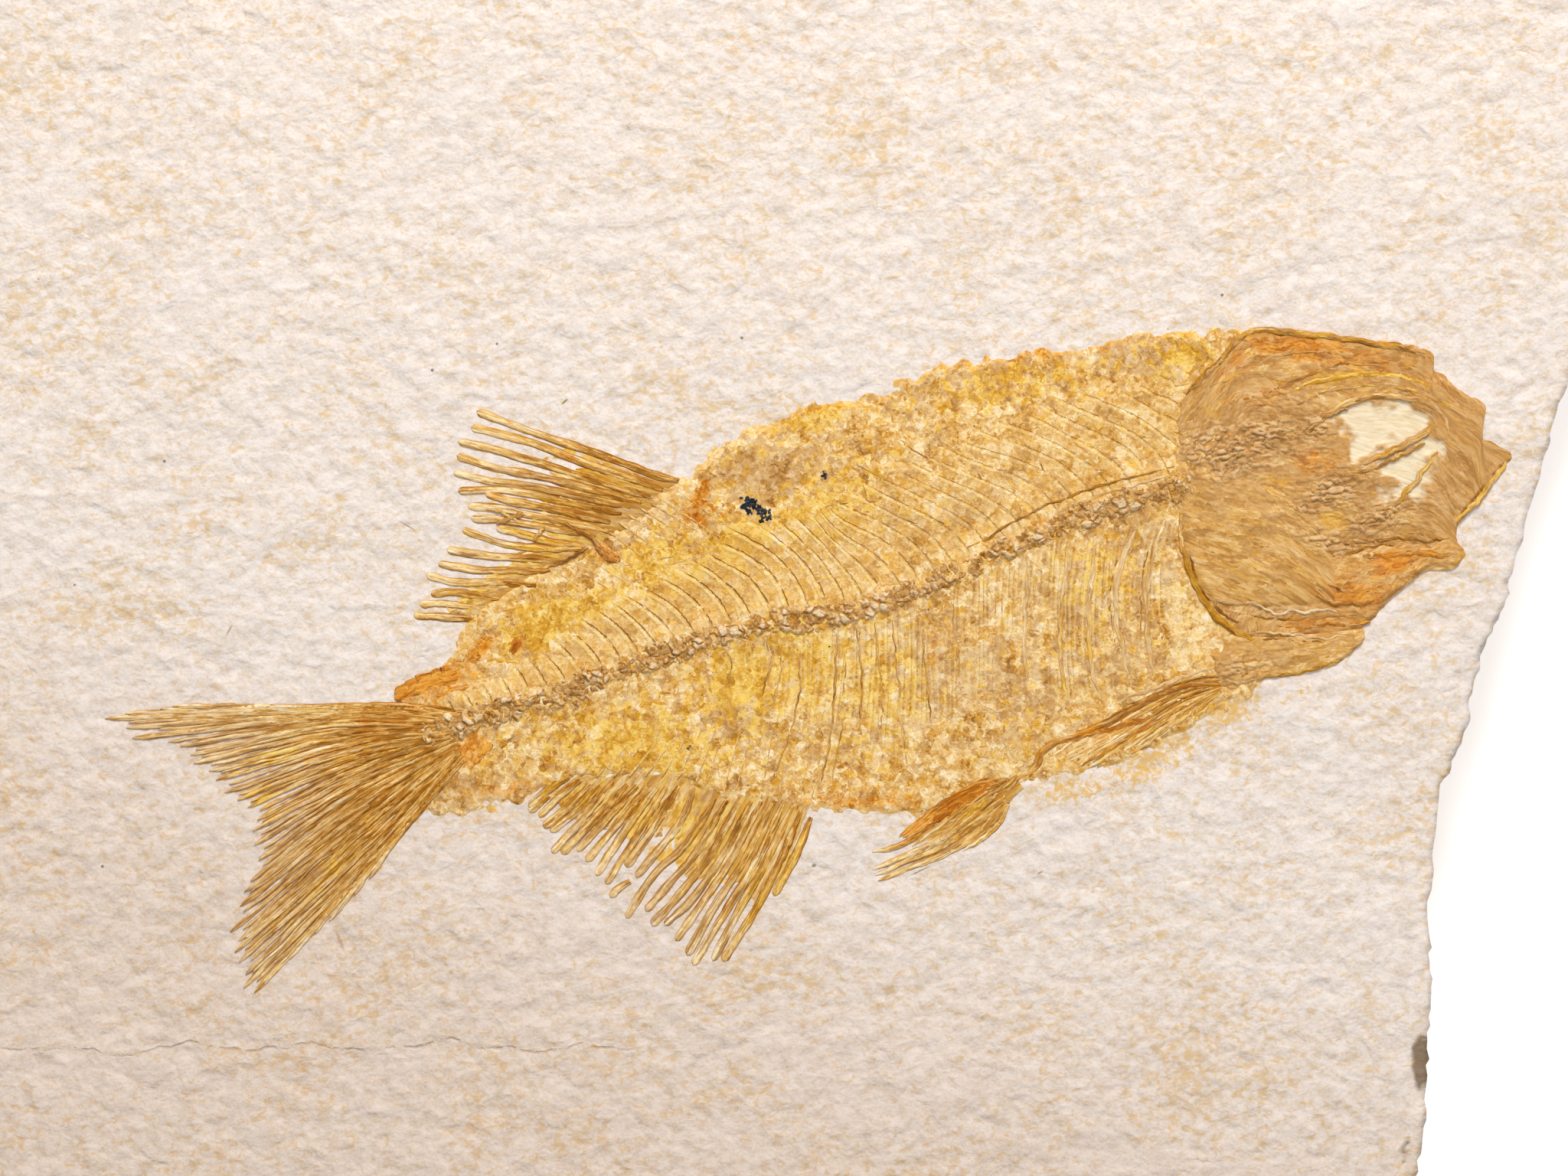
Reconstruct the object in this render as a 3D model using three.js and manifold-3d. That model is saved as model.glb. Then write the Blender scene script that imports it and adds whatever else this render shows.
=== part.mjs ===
// A plate of pale limestone with one flattened fossil fish on its bedding face.
// Millimetres, +Z up. The slab lies on its flat underside, with its middle over the origin.
// The fish lies on its side, head to +X and back to +Y, and every bone is a thin piece of its own.

import * as THREE from 'three';
import { mergeVertices } from 'three/addons/utils/BufferGeometryUtils.js';
import Module from 'manifold-3d';

const wasm = await Module();
wasm.setup();

// Driving dimensions
const slabLength = 134;
const slabWidth = 110;
const slabThickness = 9;
const skinThickness = 0.35;
const headThickness = 1.1;
const girdleThickness = 0.8;
const finThickness = 0.45;
const webThickness = 0.2;
const webReach = 0.94;
const boneThickness = 0.35;
const columnThickness = 0.8;
const columnWidth = 1.7;
const vertebraCount = 42;

const bedding = slabThickness;
const skinTop = bedding + skinThickness;

// Finishes
const stone = new THREE.MeshStandardMaterial({ color: 0xebdcc9, roughness: 0.92, metalness: 0 });
const skin = new THREE.MeshStandardMaterial({ color: 0xd9a665, roughness: 0.8, metalness: 0 });
const bone = new THREE.MeshStandardMaterial({ color: 0xc08a4c, roughness: 0.72, metalness: 0 });
const column = new THREE.MeshStandardMaterial({ color: 0xcdb48c, roughness: 0.75, metalness: 0 });
const finBone = new THREE.MeshStandardMaterial({ color: 0xb27a38, roughness: 0.75, metalness: 0 });
const mineral = new THREE.MeshStandardMaterial({ color: 0x17130f, roughness: 0.5, metalness: 0.1 });

function toSolid(geometry) {
  const bare = geometry.clone();
  bare.deleteAttribute('normal');
  bare.deleteAttribute('uv');
  const welded = mergeVertices(bare, 1e-4);
  const mesh = new wasm.Mesh({
    numProp: 3,
    vertProperties: new Float32Array(welded.attributes.position.array),
    triVerts: new Uint32Array(welded.index.array),
  });
  return new wasm.Manifold(mesh);
}

function toGeometry(solid) {
  const mesh = solid.getMesh();
  const geometry = new THREE.BufferGeometry();
  geometry.setAttribute('position', new THREE.BufferAttribute(mesh.vertProperties, 3));
  geometry.setIndex(new THREE.BufferAttribute(mesh.triVerts, 1));
  const flat = geometry.toNonIndexed();
  flat.computeVertexNormals();
  return flat;
}

function join(solids) {
  return solids.reduce((whole, next) => whole.add(next));
}

// A smooth curve through a few points on the bedding face, closed or open
function curveThrough(points, closed) {
  const stations = points.map(([x, y]) => new THREE.Vector3(x, y, 0));
  return new THREE.CatmullRomCurve3(stations, closed, 'centripetal');
}

function flatShape(points) {
  return new THREE.Shape(points.map((p) => new THREE.Vector2(p.x, p.y)));
}

// A sheet of even thickness standing on the plane z = floor
function sheet(outline, floor, thickness) {
  const geometry = new THREE.ExtrudeGeometry(flatShape(outline), {
    depth: thickness,
    bevelEnabled: false,
  });
  geometry.translate(0, 0, floor);
  return toSolid(geometry);
}

// A plate on the bedding face whose upper edge is bevelled, trimmed flat underneath
function crownedPlate(points, steps, thickness, rounding) {
  const outline = curveThrough(points, true).getPoints(steps).slice(0, -1);
  const geometry = new THREE.ExtrudeGeometry(flatShape(outline), {
    depth: thickness - rounding,
    bevelThickness: rounding,
    bevelSize: rounding,
    bevelOffset: -rounding,
    bevelSegments: 1,
  });
  geometry.translate(0, 0, bedding);
  return toSolid(geometry).trimByPlane([0, 0, 1], bedding);
}

// A thin bone: a strip that bends from its root to its tip and narrows between two widths
function splint([root, bend, tip], [rootWidth, tipWidth], floor, thickness, steps) {
  const path = new THREE.QuadraticBezierCurve3(root, bend, tip);
  const left = [];
  const right = [];
  for (let i = 0; i <= steps; i += 1) {
    const t = i / steps;
    const along = path.getTangent(t);
    const side = new THREE.Vector3(-along.y, along.x, 0).normalize();
    const half = THREE.MathUtils.lerp(rootWidth, tipWidth, t) / 2;
    left.push(path.getPoint(t).addScaledVector(side, half));
    right.push(path.getPoint(t).addScaledVector(side, -half));
  }
  return sheet([...right, ...left.reverse()], floor, thickness);
}

// Stone: one broken plate, its rim counter-clockwise. Each profile row is [share of the rim, height].
const slabCorners = [
  [60, 12.5], [63, 20], [67, 30], [65, 38], [59, 48], [43, 51], [24, 55], [3, 52.5], [-18, 54.5],
  [-40, 51.5], [-57, 48.5], [-64.5, 34], [-67, 14], [-64.5, -6], [-65.5, -26], [-63.5, -43],
  [-55, -51.5], [-38, -52], [-14, -55], [10, -53.4], [31, -54], [46, -51], [49.4, -42.5],
  [50.4, -36], [50.9, -28.5], [50.4, -22], [51.2, -16], [52.6, -12], [54.2, -7.2], [56.2, -1],
  [57.4, 3.5], [58.2, 7.5],
];
const slabProfile = [
  [0, 0], [0.955, 0], [0.966, 1.1], [0.978, 1.5], [0.974, 3], [0.986, 3.4], [0.989, 5],
  [0.98, 5.4], [0.99, 6.6], [0.985, 7], [1, 8.2], [0.995, 9], [0, 9],
];
const slabSides = 90;

// Chips along the broken edge: waves round the rim, shifted from one bed of stone to the next
function chip(turn, height) {
  const shift = height * 1.9;
  const coarse = Math.sin(17 * turn + shift) * 0.004;
  const fine = Math.sin(43 * turn + 2.3 * shift) * 0.0035;
  return coarse + fine;
}

// Brings the broken plate to its stated length and width, centred over the origin
function fitToSize(geometry) {
  geometry.computeBoundingBox();
  const size = geometry.boundingBox.getSize(new THREE.Vector3());
  const middle = geometry.boundingBox.getCenter(new THREE.Vector3());
  geometry.translate(-middle.x, -middle.y, 0);
  geometry.scale(slabLength / size.x, slabWidth / size.y, slabThickness / size.z);
}

function buildSlab() {
  const rim = curveThrough(slabCorners, true);
  const profile = slabProfile.map(([share, z]) => new THREE.Vector2(share, z));
  const geometry = new THREE.LatheGeometry(profile, slabSides);
  const position = geometry.attributes.position;
  for (let i = 0; i < position.count; i += 1) {
    const [share, z] = slabProfile[i % slabProfile.length];
    const around = (Math.floor(i / slabProfile.length) % slabSides) / slabSides;
    const edge = rim.getPointAt(around);
    const broken = share > 0 ? share + chip(around * 2 * Math.PI, z) : 0;
    position.setXYZ(i, edge.x * broken, edge.y * broken, z);
  }
  fitToSize(geometry);
  return toSolid(geometry);
}

// Trunk: the film of skin and scales that the bones lie in
const trunkOutline = [
  [36.4, 17.1], [34.5, 17.4], [29.8, 16.9], [23.7, 16], [16, 15], [11.6, 13], [7.2, 12], [2.8, 10.3],
  [-2.2, 6.5], [-8.6, 1.8], [-16.6, -3.4], [-17.4, -5.6], [-19.3, -8.4], [-19.4, -15.6], [-17, -16],
  [-12.8, -15.3], [-10.1, -13.8], [-3.8, -13.8], [0.9, -15], [6.9, -16.1], [10.5, -16.4], [14.9, -16.1],
  [18.2, -14.4], [21, -13.2], [27.2, -9.4], [34.4, -4.9], [34.6, -3.4], [33.4, -1.2], [32.4, 1.8],
  [32.2, 5.1], [32, 10.3], [33, 13.2], [35, 15.7],
];

// Head plates
const skullOutline = [
  [37.6, 17.2], [43.2, 17], [48.8, 16.2], [50.5, 14.8], [53.7, 12.6], [54, 10.2], [56.1, 8.6],
  [55.6, 7.2], [52.7, 4.4], [49.4, 3.3], [45.2, 2.2], [42.1, 1.6], [41.5, 6], [40.2, 11.6], [37.4, 15.6],
];
const gillOutline = [
  [36.4, 15.4], [33.7, 12.6], [32.6, 10.1], [32.8, 5.1], [33.1, 1.8], [34.2, -1.2], [35.6, -3.2],
  [38, -3.9], [43.6, -3.5], [43.3, -0.8], [41.4, 1], [40.9, 6], [39.4, 11.8],
];
const jawOutline = [
  [52.3, 3.5], [52.6, 2.2], [52.1, 1], [49.7, 0.4], [48.1, -1.8], [45.5, -4.4], [44.3, -3.2],
  [44.1, -0.6], [42.6, 0.9], [45.4, 1.7], [49.4, 2.7],
];
const shoulderOutline = [
  [36, -4.2], [38.2, -4.5], [44.6, -4.4], [45, -5.6], [43.4, -6.6], [40.8, -7.4], [38.3, -8], [36.8, -7.3],
];
const eyeCentre = [46.9, 8.9];
const eyeRadii = [3.7, 2.9];
const eyeDepth = 0.45;

function buildSkull() {
  const plate = crownedPlate(skullOutline, 56, headThickness, 0.35);
  const socket = new THREE.SphereGeometry(1, 18, 10);
  socket.scale(eyeRadii[0], eyeRadii[1], eyeDepth);
  socket.translate(eyeCentre[0], eyeCentre[1], bedding + headThickness);
  return plate.subtract(toSolid(socket));
}

// Backbone: the line of the vertebrae, and the bones that rise and fall from it
const spineLine = curveThrough(
  [[-18.4, -10.5], [-11.5, -8.7], [-4.8, -6.2], [1.2, -4.1], [9.1, -2.8], [17, 0.1], [23.3, 3.1], [31.4, 5.7]],
  false,
);

// One waisted outline for the whole column: full at each joint, narrow at the middle of each vertebra
function buildColumn() {
  const upper = [];
  const lower = [];
  for (let i = 0; i <= vertebraCount * 2; i += 1) {
    const t = i / (vertebraCount * 2);
    const along = spineLine.getTangentAt(t);
    const side = new THREE.Vector3(-along.y, along.x, 0);
    const taper = THREE.MathUtils.lerp(0.62, 1, Math.min(1, t * 1.6));
    const half = (columnWidth / 2) * taper * (i % 2 === 0 ? 1 : 0.72);
    upper.push(spineLine.getPointAt(t).addScaledVector(side, half));
    lower.push(spineLine.getPointAt(t).addScaledVector(side, -half));
  }
  return sheet([...lower, ...upper.reverse()], skinTop, columnThickness);
}

// A bone that leaves the column at share t: its foot is inside the column, and it leans as it runs out
function spineBone(t, foot, bow, reach, width) {
  const start = spineLine.getPointAt(t);
  const root = new THREE.Vector3(start.x, start.y + foot, 0);
  const bend = new THREE.Vector3(root.x + bow[0], root.y + bow[1], 0);
  const tip = new THREE.Vector3(root.x + reach[0], root.y + reach[1], 0);
  return splint([root, bend, tip], [width, width * 0.45], skinTop, boneThickness, 2);
}

function buildBackbone() {
  const pieces = [buildColumn()];
  for (let i = 2; i < vertebraCount - 1; i += 1) {
    const t = (i + 0.5) / vertebraCount;
    const rise = THREE.MathUtils.lerp(2.6, 5.3, Math.min(1, t * 2.2));
    pieces.push(spineBone(t, 0.3, [-rise * 0.35, rise * 0.7], [-rise * 1.15, rise], 0.42));
  }
  const firstRib = 0.5;
  for (let i = 2; i < vertebraCount - 2; i += 1) {
    const t = (i + 0.5) / vertebraCount;
    if (t < firstRib) {
      const drop = THREE.MathUtils.lerp(2.6, 6.6, t / firstRib);
      pieces.push(spineBone(t, -0.3, [-drop * 0.2, -drop * 0.7], [-drop * 0.75, -drop], 0.42));
    } else {
      const swing = Math.sin(((t - firstRib) / (1 - firstRib)) * Math.PI * 0.5);
      const drop = THREE.MathUtils.lerp(11.2, 8.2, swing);
      pieces.push(spineBone(t, -0.3, [drop * 0.16, -drop * 0.4], [drop * 0.02, -drop], 0.4));
    }
  }
  return join(pieces);
}

// A fin: tapered rays fanned from the root line to the tips, held together by a thin web
function buildFin({ roots, tips, rays, rayWidths }) {
  const rootLine = curveThrough(roots, false);
  const tipLine = curveThrough(tips, false);
  const rim = [];
  const pieces = [];
  for (let i = 0; i < rays; i += 1) {
    const share = i / (rays - 1);
    const root = rootLine.getPointAt(share);
    const tip = tipLine.getPointAt(share);
    const middle = root.clone().lerp(tip, 0.5);
    rim.push(root.clone().lerp(tip, webReach));
    pieces.push(splint([root, middle, tip], rayWidths, bedding, finThickness, 1));
  }
  const web = [...rootLine.getSpacedPoints(rays - 1), ...rim.reverse()];
  pieces.push(sheet(web, bedding, webThickness));
  return join(pieces);
}

// Each fin: its root line along the body, its line of tips, its rays and how wide they start and end
const fins = {
  dorsal_fin: {
    roots: [[-2.4, 7.2], [-8.6, 2.5], [-16.7, -2.7]],
    tips: [[-16.8, 11.4], [-18.2, 8.4], [-17, 5.2], [-17.6, 3.2], [-19.4, 0.7], [-21, -2.8]],
    rays: 15,
    rayWidths: [0.75, 0.4],
  },
  anal_fin: {
    roots: [[6.9, -16.7], [0.9, -15.6], [-3.8, -14.4], [-10.1, -14.4], [-12.9, -16]],
    tips: [[1.3, -27.4], [-2.3, -26], [-6, -24.2], [-8.4, -21.2], [-11.2, -19.2], [-13.2, -17.6]],
    rays: 19,
    rayWidths: [0.7, 0.4],
  },
  tail_fin: {
    roots: [[-20.2, -9], [-20.3, -12.8], [-20.2, -16.6]],
    tips: [
      [-42.6, -10.1], [-38.2, -12.2], [-35.2, -14.4], [-32.5, -17], [-32, -20.2], [-33.6, -24.4], [-33, -29],
    ],
    rays: 19,
    rayWidths: [0.55, 0.5],
  },
  pelvic_fin: {
    roots: [[19.6, -14.9], [20.5, -15.6], [21, -16.4]],
    tips: [[13, -18.7], [11.3, -20.8], [14.6, -20.6], [17.6, -19.6]],
    rays: 6,
    rayWidths: [0.5, 0.35],
  },
  pectoral_fin: {
    roots: [[35.2, -5.8], [35.8, -6.7], [36.2, -7.6]],
    tips: [[22.8, -13.2], [26.2, -14.2], [30.4, -13.5], [34.4, -10.2]],
    rays: 9,
    rayWidths: [0.55, 0.35],
  },
};

// The black grain: two lumps grown together on the skin
function buildSpeck() {
  const lumps = [[2.6, 4.8, 0.66], [3.4, 4.2, 0.55]].map(([x, y, radius]) => {
    const lump = new THREE.IcosahedronGeometry(radius, 1);
    lump.scale(1, 0.85, 0.8);
    lump.translate(x, y, skinTop);
    return toSolid(lump);
  });
  return join(lumps).trimByPlane([0, 0, 1], skinTop);
}

function buildTrunk() {
  const rim = curveThrough(trunkOutline, true).getPoints(90).slice(0, -1);
  return sheet(rim, bedding, skinThickness);
}

// The whole plate
const group = new THREE.Group();

function add(name, solid, material) {
  const mesh = new THREE.Mesh(toGeometry(solid), material);
  mesh.name = name;
  group.add(mesh);
}

add('matrix_slab', buildSlab(), stone);
add('flank_skin', buildTrunk(), skin);
add('backbone', buildBackbone(), column);
add('skull', buildSkull(), bone);
add('gill_cover', crownedPlate(gillOutline, 50, headThickness, 0.3), bone);
add('lower_jaw', crownedPlate(jawOutline, 44, headThickness, 0.3), bone);
add('shoulder_bone', crownedPlate(shoulderOutline, 32, girdleThickness, 0.25), bone);
Object.entries(fins).forEach(([name, fin]) => add(name, buildFin(fin), finBone));
add('mineral_speck', buildSpeck(), mineral);

export default group;
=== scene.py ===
import math

import bpy
import numpy as np
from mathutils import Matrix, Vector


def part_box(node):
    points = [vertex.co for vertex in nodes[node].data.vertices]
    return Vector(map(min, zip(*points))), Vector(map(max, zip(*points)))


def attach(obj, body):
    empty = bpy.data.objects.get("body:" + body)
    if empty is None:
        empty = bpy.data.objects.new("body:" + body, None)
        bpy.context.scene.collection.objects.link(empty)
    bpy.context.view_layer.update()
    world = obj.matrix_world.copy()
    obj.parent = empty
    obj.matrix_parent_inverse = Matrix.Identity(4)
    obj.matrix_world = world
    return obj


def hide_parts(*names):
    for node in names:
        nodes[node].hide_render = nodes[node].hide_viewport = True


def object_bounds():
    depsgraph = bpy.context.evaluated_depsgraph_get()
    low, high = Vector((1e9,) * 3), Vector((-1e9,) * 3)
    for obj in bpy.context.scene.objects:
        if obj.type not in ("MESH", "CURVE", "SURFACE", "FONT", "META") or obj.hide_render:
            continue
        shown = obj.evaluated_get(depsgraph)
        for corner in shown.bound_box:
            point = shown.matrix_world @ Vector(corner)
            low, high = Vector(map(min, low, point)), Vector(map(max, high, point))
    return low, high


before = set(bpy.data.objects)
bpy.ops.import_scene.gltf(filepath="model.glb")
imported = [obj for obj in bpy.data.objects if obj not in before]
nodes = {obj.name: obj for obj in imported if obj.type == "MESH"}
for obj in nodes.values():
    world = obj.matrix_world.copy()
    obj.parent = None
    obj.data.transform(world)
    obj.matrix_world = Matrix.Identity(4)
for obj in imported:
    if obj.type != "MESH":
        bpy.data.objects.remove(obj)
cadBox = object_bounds()
print("frame loaded:", len(nodes), "nodes")

# Lengths below are in millimetres on the slab's face, from the slab's middle; mm turns them to metres.
mm = 0.001
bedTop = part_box("matrix_slab")[1].z / mm
proudest = cadBox[1].z / mm
tiny = 1e-12  # keeps a division by a length of nought from failing


# Numbers and curves.
def smoothRamp(value, low, high):
    # 0 below low, 1 above high and the smooth step 3t^2 - 2t^3 between
    t = np.clip((value - low) / (high - low), 0, 1)
    return t * t * (3 - 2 * t)


def roughness(x, y, size, seed, octaves=1):
    # random values on a lattice of the given size, blended smoothly; each octave halves size and height
    total = np.zeros(np.broadcast(x, y).shape)
    for k in range(octaves):
        table = np.random.default_rng(seed + k).random((128, 128)) * 2 - 1
        u, v = x / size * 2 ** k, y / size * 2 ** k
        i, j = np.floor(u).astype(int), np.floor(v).astype(int)
        fu, fv = smoothRamp(u - i, 0, 1), smoothRamp(v - j, 0, 1)
        low = table[i % 128, j % 128] * (1 - fu) + table[(i + 1) % 128, j % 128] * fu
        high = table[i % 128, (j + 1) % 128] * (1 - fu) + table[(i + 1) % 128, (j + 1) % 128] * fu
        total = total + (low * (1 - fv) + high * fv) / 2 ** k
    return total


def blocks(x, y, size, seed):
    # broken pieces round one random point to each square of a lattice: the height is the nearest point's
    # lead over the second nearest, and the pick is a random number of the nearest point's own
    table = np.random.default_rng(seed).random((64, 64, 3))
    u, v = x / size, y / size
    i, j = np.floor(u).astype(int), np.floor(v).astype(int)
    nearest, second, pick = np.full(u.shape, 9.0), np.full(u.shape, 9.0), np.zeros(u.shape)
    for di, dj in ((a, b) for a in (-1, 0, 1) for b in (-1, 0, 1)):
        spot = table[(i + di) % 64, (j + dj) % 64]
        gap = np.hypot(i + di + spot[..., 0] - u, j + dj + spot[..., 1] - v)
        closer = gap < nearest
        second = np.where(closer, nearest, np.minimum(second, gap))
        pick = np.where(closer, spot[..., 2], pick)
        nearest = np.where(closer, gap, nearest)
    return smoothRamp(second - nearest, 0.0, 0.4), pick


def smoothLine(stations, count, closed=False):
    # Catmull-Rom curve through given stations, resampled at even steps of its own length
    p = np.array(stations, float)
    p = np.vstack([p[-1:], p, p[:2]]) if closed else np.vstack([2 * p[0] - p[1], p, 2 * p[-1] - p[-2]])
    t = np.linspace(0, 1, 24, endpoint=False)[None, :, None]
    a, b, c, d = (q[:, None] for q in (p[:-3], p[1:-2], p[2:-1], p[3:]))
    curve = 0.5 * (
        2 * b + (c - a) * t + (2 * a - 5 * b + 4 * c - d) * t ** 2 + (3 * b - a - 3 * c + d) * t ** 3
    )
    curve = np.vstack([curve.reshape(-1, p.shape[1]), p[-2:-1]])
    run = np.concatenate([[0], np.cumsum(np.linalg.norm(np.diff(curve, axis=0), axis=1))])
    at = np.linspace(0, run[-1], count)
    return np.stack([np.interp(at, run, column) for column in curve.T], axis=1)


def lineNormals(lines):
    # unit vectors a quarter turn to the left of one line or of many: (-y, x) of the unit vector along it
    along = np.gradient(lines, axis=-2)
    along /= np.linalg.norm(along, axis=-1, keepdims=True) + tiny
    return np.stack([-along[..., 1], along[..., 0]], axis=-1)


def patchField(x, y, patches):
    # the highest of several soft elliptical patches, each (x, y, length, width, turn in degrees, strength)
    field = np.zeros(x.shape)
    for px, py, length, width, turn, strength in patches:
        c, s = math.cos(math.radians(turn)), math.sin(math.radians(turn))
        u = ((x - px) * c + (y - py) * s) / length
        v = (-(x - px) * s + (y - py) * c) / width
        field = np.maximum(field, strength * np.exp(-(u * u + v * v)))
    return field


def patchFields(x, y, tints):
    # one field for each named list of patches
    return {key: patchField(x, y, patches) for key, patches in tints.items()}


# Meshes.
def putMesh(name, points, faces, values, material, node):
    # one smooth piece from points in millimetres, its values kept at the points for the material to read
    mesh = bpy.data.meshes.new(name)
    mesh.from_pydata((points.reshape(-1, 3) * mm).tolist(), [], faces)
    for key, value in values.items():
        attribute = mesh.attributes.new(key, "FLOAT", "POINT")
        attribute.data.foreach_set("value", np.ascontiguousarray(value, np.float32).ravel())
    mesh.polygons.foreach_set("use_smooth", np.ones(len(mesh.polygons), bool))
    addBakeMap(mesh)
    mesh.materials.append(material)
    piece = bpy.data.objects.new(name, mesh)
    bpy.context.scene.collection.objects.link(piece)
    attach(piece, "root")
    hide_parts(node)
    print(name, len(mesh.vertices), "vertices")


def addBakeMap(mesh):
    # a flat map seen from above for faces that look up, and a strip beside it for the rest
    strip = 0.06  # share of the map's height
    steepest = 0.05  # least upward part of the normal of a face that looks up
    count = len(mesh.loops)
    corner = np.zeros(count, np.int32)
    mesh.loops.foreach_get("vertex_index", corner)
    place = np.zeros(len(mesh.vertices) * 3, np.float32)
    mesh.vertices.foreach_get("co", place)
    place = place.reshape(-1, 3)
    low, size = place.min(0), np.ptp(place, axis=0).max()
    flat = (place[corner, :2] - low[:2]) / size
    total = np.zeros(len(mesh.polygons), np.int32)
    mesh.polygons.foreach_get("loop_total", total)
    normal = np.zeros(len(mesh.polygons) * 3, np.float32)
    mesh.polygons.foreach_get("normal", normal)
    looksUp = np.repeat(normal.reshape(-1, 3)[:, 2] > steepest, total)
    flat = np.where(looksUp[:, None], flat * (1 - strip), flat * (1, strip * 0.9) + (0, 1 - strip * 0.95))
    layer = mesh.uv_layers.new(name="OFBake")
    layer.data.foreach_set("uv", np.ascontiguousarray(flat, np.float32).ravel())


def coonsGrid(back, belly, first, last):
    # Coons patch: the sheet that fills four border curves, from their blends less the blend of the corners
    u = np.linspace(0, 1, len(back))[:, None, None]
    v = np.linspace(0, 1, len(first))[None, :, None]
    ruled = (1 - v) * back[:, None] + v * belly[:, None]
    crossed = (1 - u) * first[None] + u * last[None]
    corners = (1 - u) * ((1 - v) * back[0] + v * belly[0]) + u * ((1 - v) * back[-1] + v * belly[-1])
    return ruled + crossed - corners


def ringFaces(rings, around):
    # skin over rings of points with one more point at each end: quads from ring to ring, then the two fans
    i = np.arange(rings - 1)[:, None] * around
    here = np.arange(around)
    after = np.roll(here, -1)
    quads = np.stack([i + here, i + around + here, i + around + after, i + after], axis=-1).reshape(-1, 4)
    end = 0 * here + rings * around
    last = (rings - 1) * around
    above = np.stack([end, here, after], axis=1)
    below = np.stack([end + 1, last + after, last + here], axis=1)
    return quads, above, below


def plateMesh(grid, top, floor):
    # top surface on a grid, a wall straight down from its border, and one flat face underneath
    rows, cols = top.shape
    index = np.arange(rows * cols).reshape(rows, cols)
    border = np.concatenate([index[0], index[1:, -1], index[-1, -2::-1], index[-2:0:-1, 0]])
    upper = np.concatenate([grid, top[..., None]], axis=-1).reshape(-1, 3)
    lower = upper[border].copy()
    lower[:, 2] = floor
    below = np.arange(len(border)) + rows * cols
    wall = np.stack([border, below, np.roll(below, -1), np.roll(border, -1)], axis=-1)
    first = index[:-1, :-1]
    quads = np.stack([first, first + 1, first + cols + 1, first + cols], axis=-1).reshape(-1, 4)
    faces = quads.tolist() + wall.tolist() + [below[::-1].tolist()]
    points = np.vstack([upper, lower])
    # the order is turned round if the top came out looking down
    a, b, c = (points[faces[len(faces) // 3][k]] for k in range(3))
    up = np.cross(b - a, c - a)[2] > 0
    return points, faces if up else [face[::-1] for face in faces], border


def platePiece(name, grid, top, floor, fields, material, node):
    # a plate as one piece, with the values of its border carried down the wall
    points, faces, border = plateMesh(grid, top, floor)
    values = {key: np.concatenate([field.ravel(), field.ravel()[border]]) for key, field in fields.items()}
    putMesh(name, points, faces, values, material, node)


strandShape = {
    "power": 2.4,        # of the crown, where 2 is a half ellipse
    "edge": -0.04,       # height of the rims against the ground
    "bottom": -0.25,     # height of the sunk underside
    "bottomWidth": 0.8,  # share of the width
    "uneven": 0.35,
}


def strandBundle(paths, widths, lifts, ground, across, rise):
    # many thin bones at once: along each path a crown (1 - |a|^power)^(1/2), with a from -1 to 1 across it,
    # set on the ground, and a narrower underside sunk in it
    count, steps = widths.shape
    side = lineNormals(paths)
    a = np.cos(np.linspace(math.pi, 0, across))
    crown = np.concatenate([np.sqrt(np.clip(1 - np.abs(a) ** strandShape["power"], 0, 1)), [0, 0]])
    a = np.concatenate([a, [strandShape["bottomWidth"], -strandShape["bottomWidth"]]])
    sunk = np.concatenate([np.full(across, strandShape["edge"]), np.full(2, strandShape["bottom"])])
    place = paths[:, :, None] + side[:, :, None] * (widths / 2)[..., None, None] * a[None, None, :, None]
    x, y = place[..., 0], place[..., 1]
    rough = 1 + strandShape["uneven"] * roughness(x, y, 0.34, 17, 2)
    height = ground(x, y) + rise + lifts[..., None] * crown * rough + sunk
    points = np.concatenate([place, height[..., None]], axis=-1)
    loop = across + 2
    ring = np.arange(count)[:, None, None] * steps * loop
    i = np.arange(steps - 1)[None, :, None] * loop
    j = np.arange(loop)[None, None, :]
    k = (j + 1) % loop
    quads = np.stack([ring + i + j, ring + i + loop + j, ring + i + loop + k, ring + i + k], axis=-1)
    first = (ring[:, 0] + np.arange(loop)[None]).tolist()
    last = (ring[:, 0] + (steps - 1) * loop + np.arange(loop)[::-1][None]).tolist()
    strides = np.linalg.norm(np.diff(paths, axis=1), axis=2)
    run = np.concatenate([np.zeros((count, 1)), np.cumsum(strides, axis=1)], axis=1)
    values = {
        "across": np.broadcast_to(a, points.shape[:3]),
        "acrossMm": a * (widths / 2)[..., None],
        "along": np.broadcast_to(run[..., None], points.shape[:3]),
        "reach": np.broadcast_to(np.linspace(0, 1, steps)[None, :, None], points.shape[:3]),
    }
    return points, quads.reshape(-1, 4).tolist() + first + last, values


def strandPiece(
    name, paths, widths, lifts, ground, material, node,
    perBone=None, patches=None, across=9, rise=0.0, seedShift=0,
):
    # one joined mesh of thin bones, with a random number for each bone so that no two are coloured alike
    points, faces, values = strandBundle(paths, widths, lifts, ground, across, rise)
    draw = np.random.default_rng(len(paths) + seedShift).random(len(paths))
    for key, value in {"pick": draw, **(perBone or {})}.items():
        values[key] = np.broadcast_to(np.asarray(value, float)[:, None, None], points.shape[:3])
    values.update(patchFields(points[..., 0], points[..., 1], patches or {}))
    putMesh(name, points, faces, values, material, node)


def roundedEnds(steps, share):
    # width along a bone: a quarter circle over this share of its length at each end, and full between
    blunt = 0.03
    t = np.linspace(0, 1, steps)
    near = np.clip(np.minimum(t, 1 - t) / share, 0, 1)
    return np.sqrt(1 - (1 - near) ** 2) * (1 - blunt) + blunt


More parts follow.
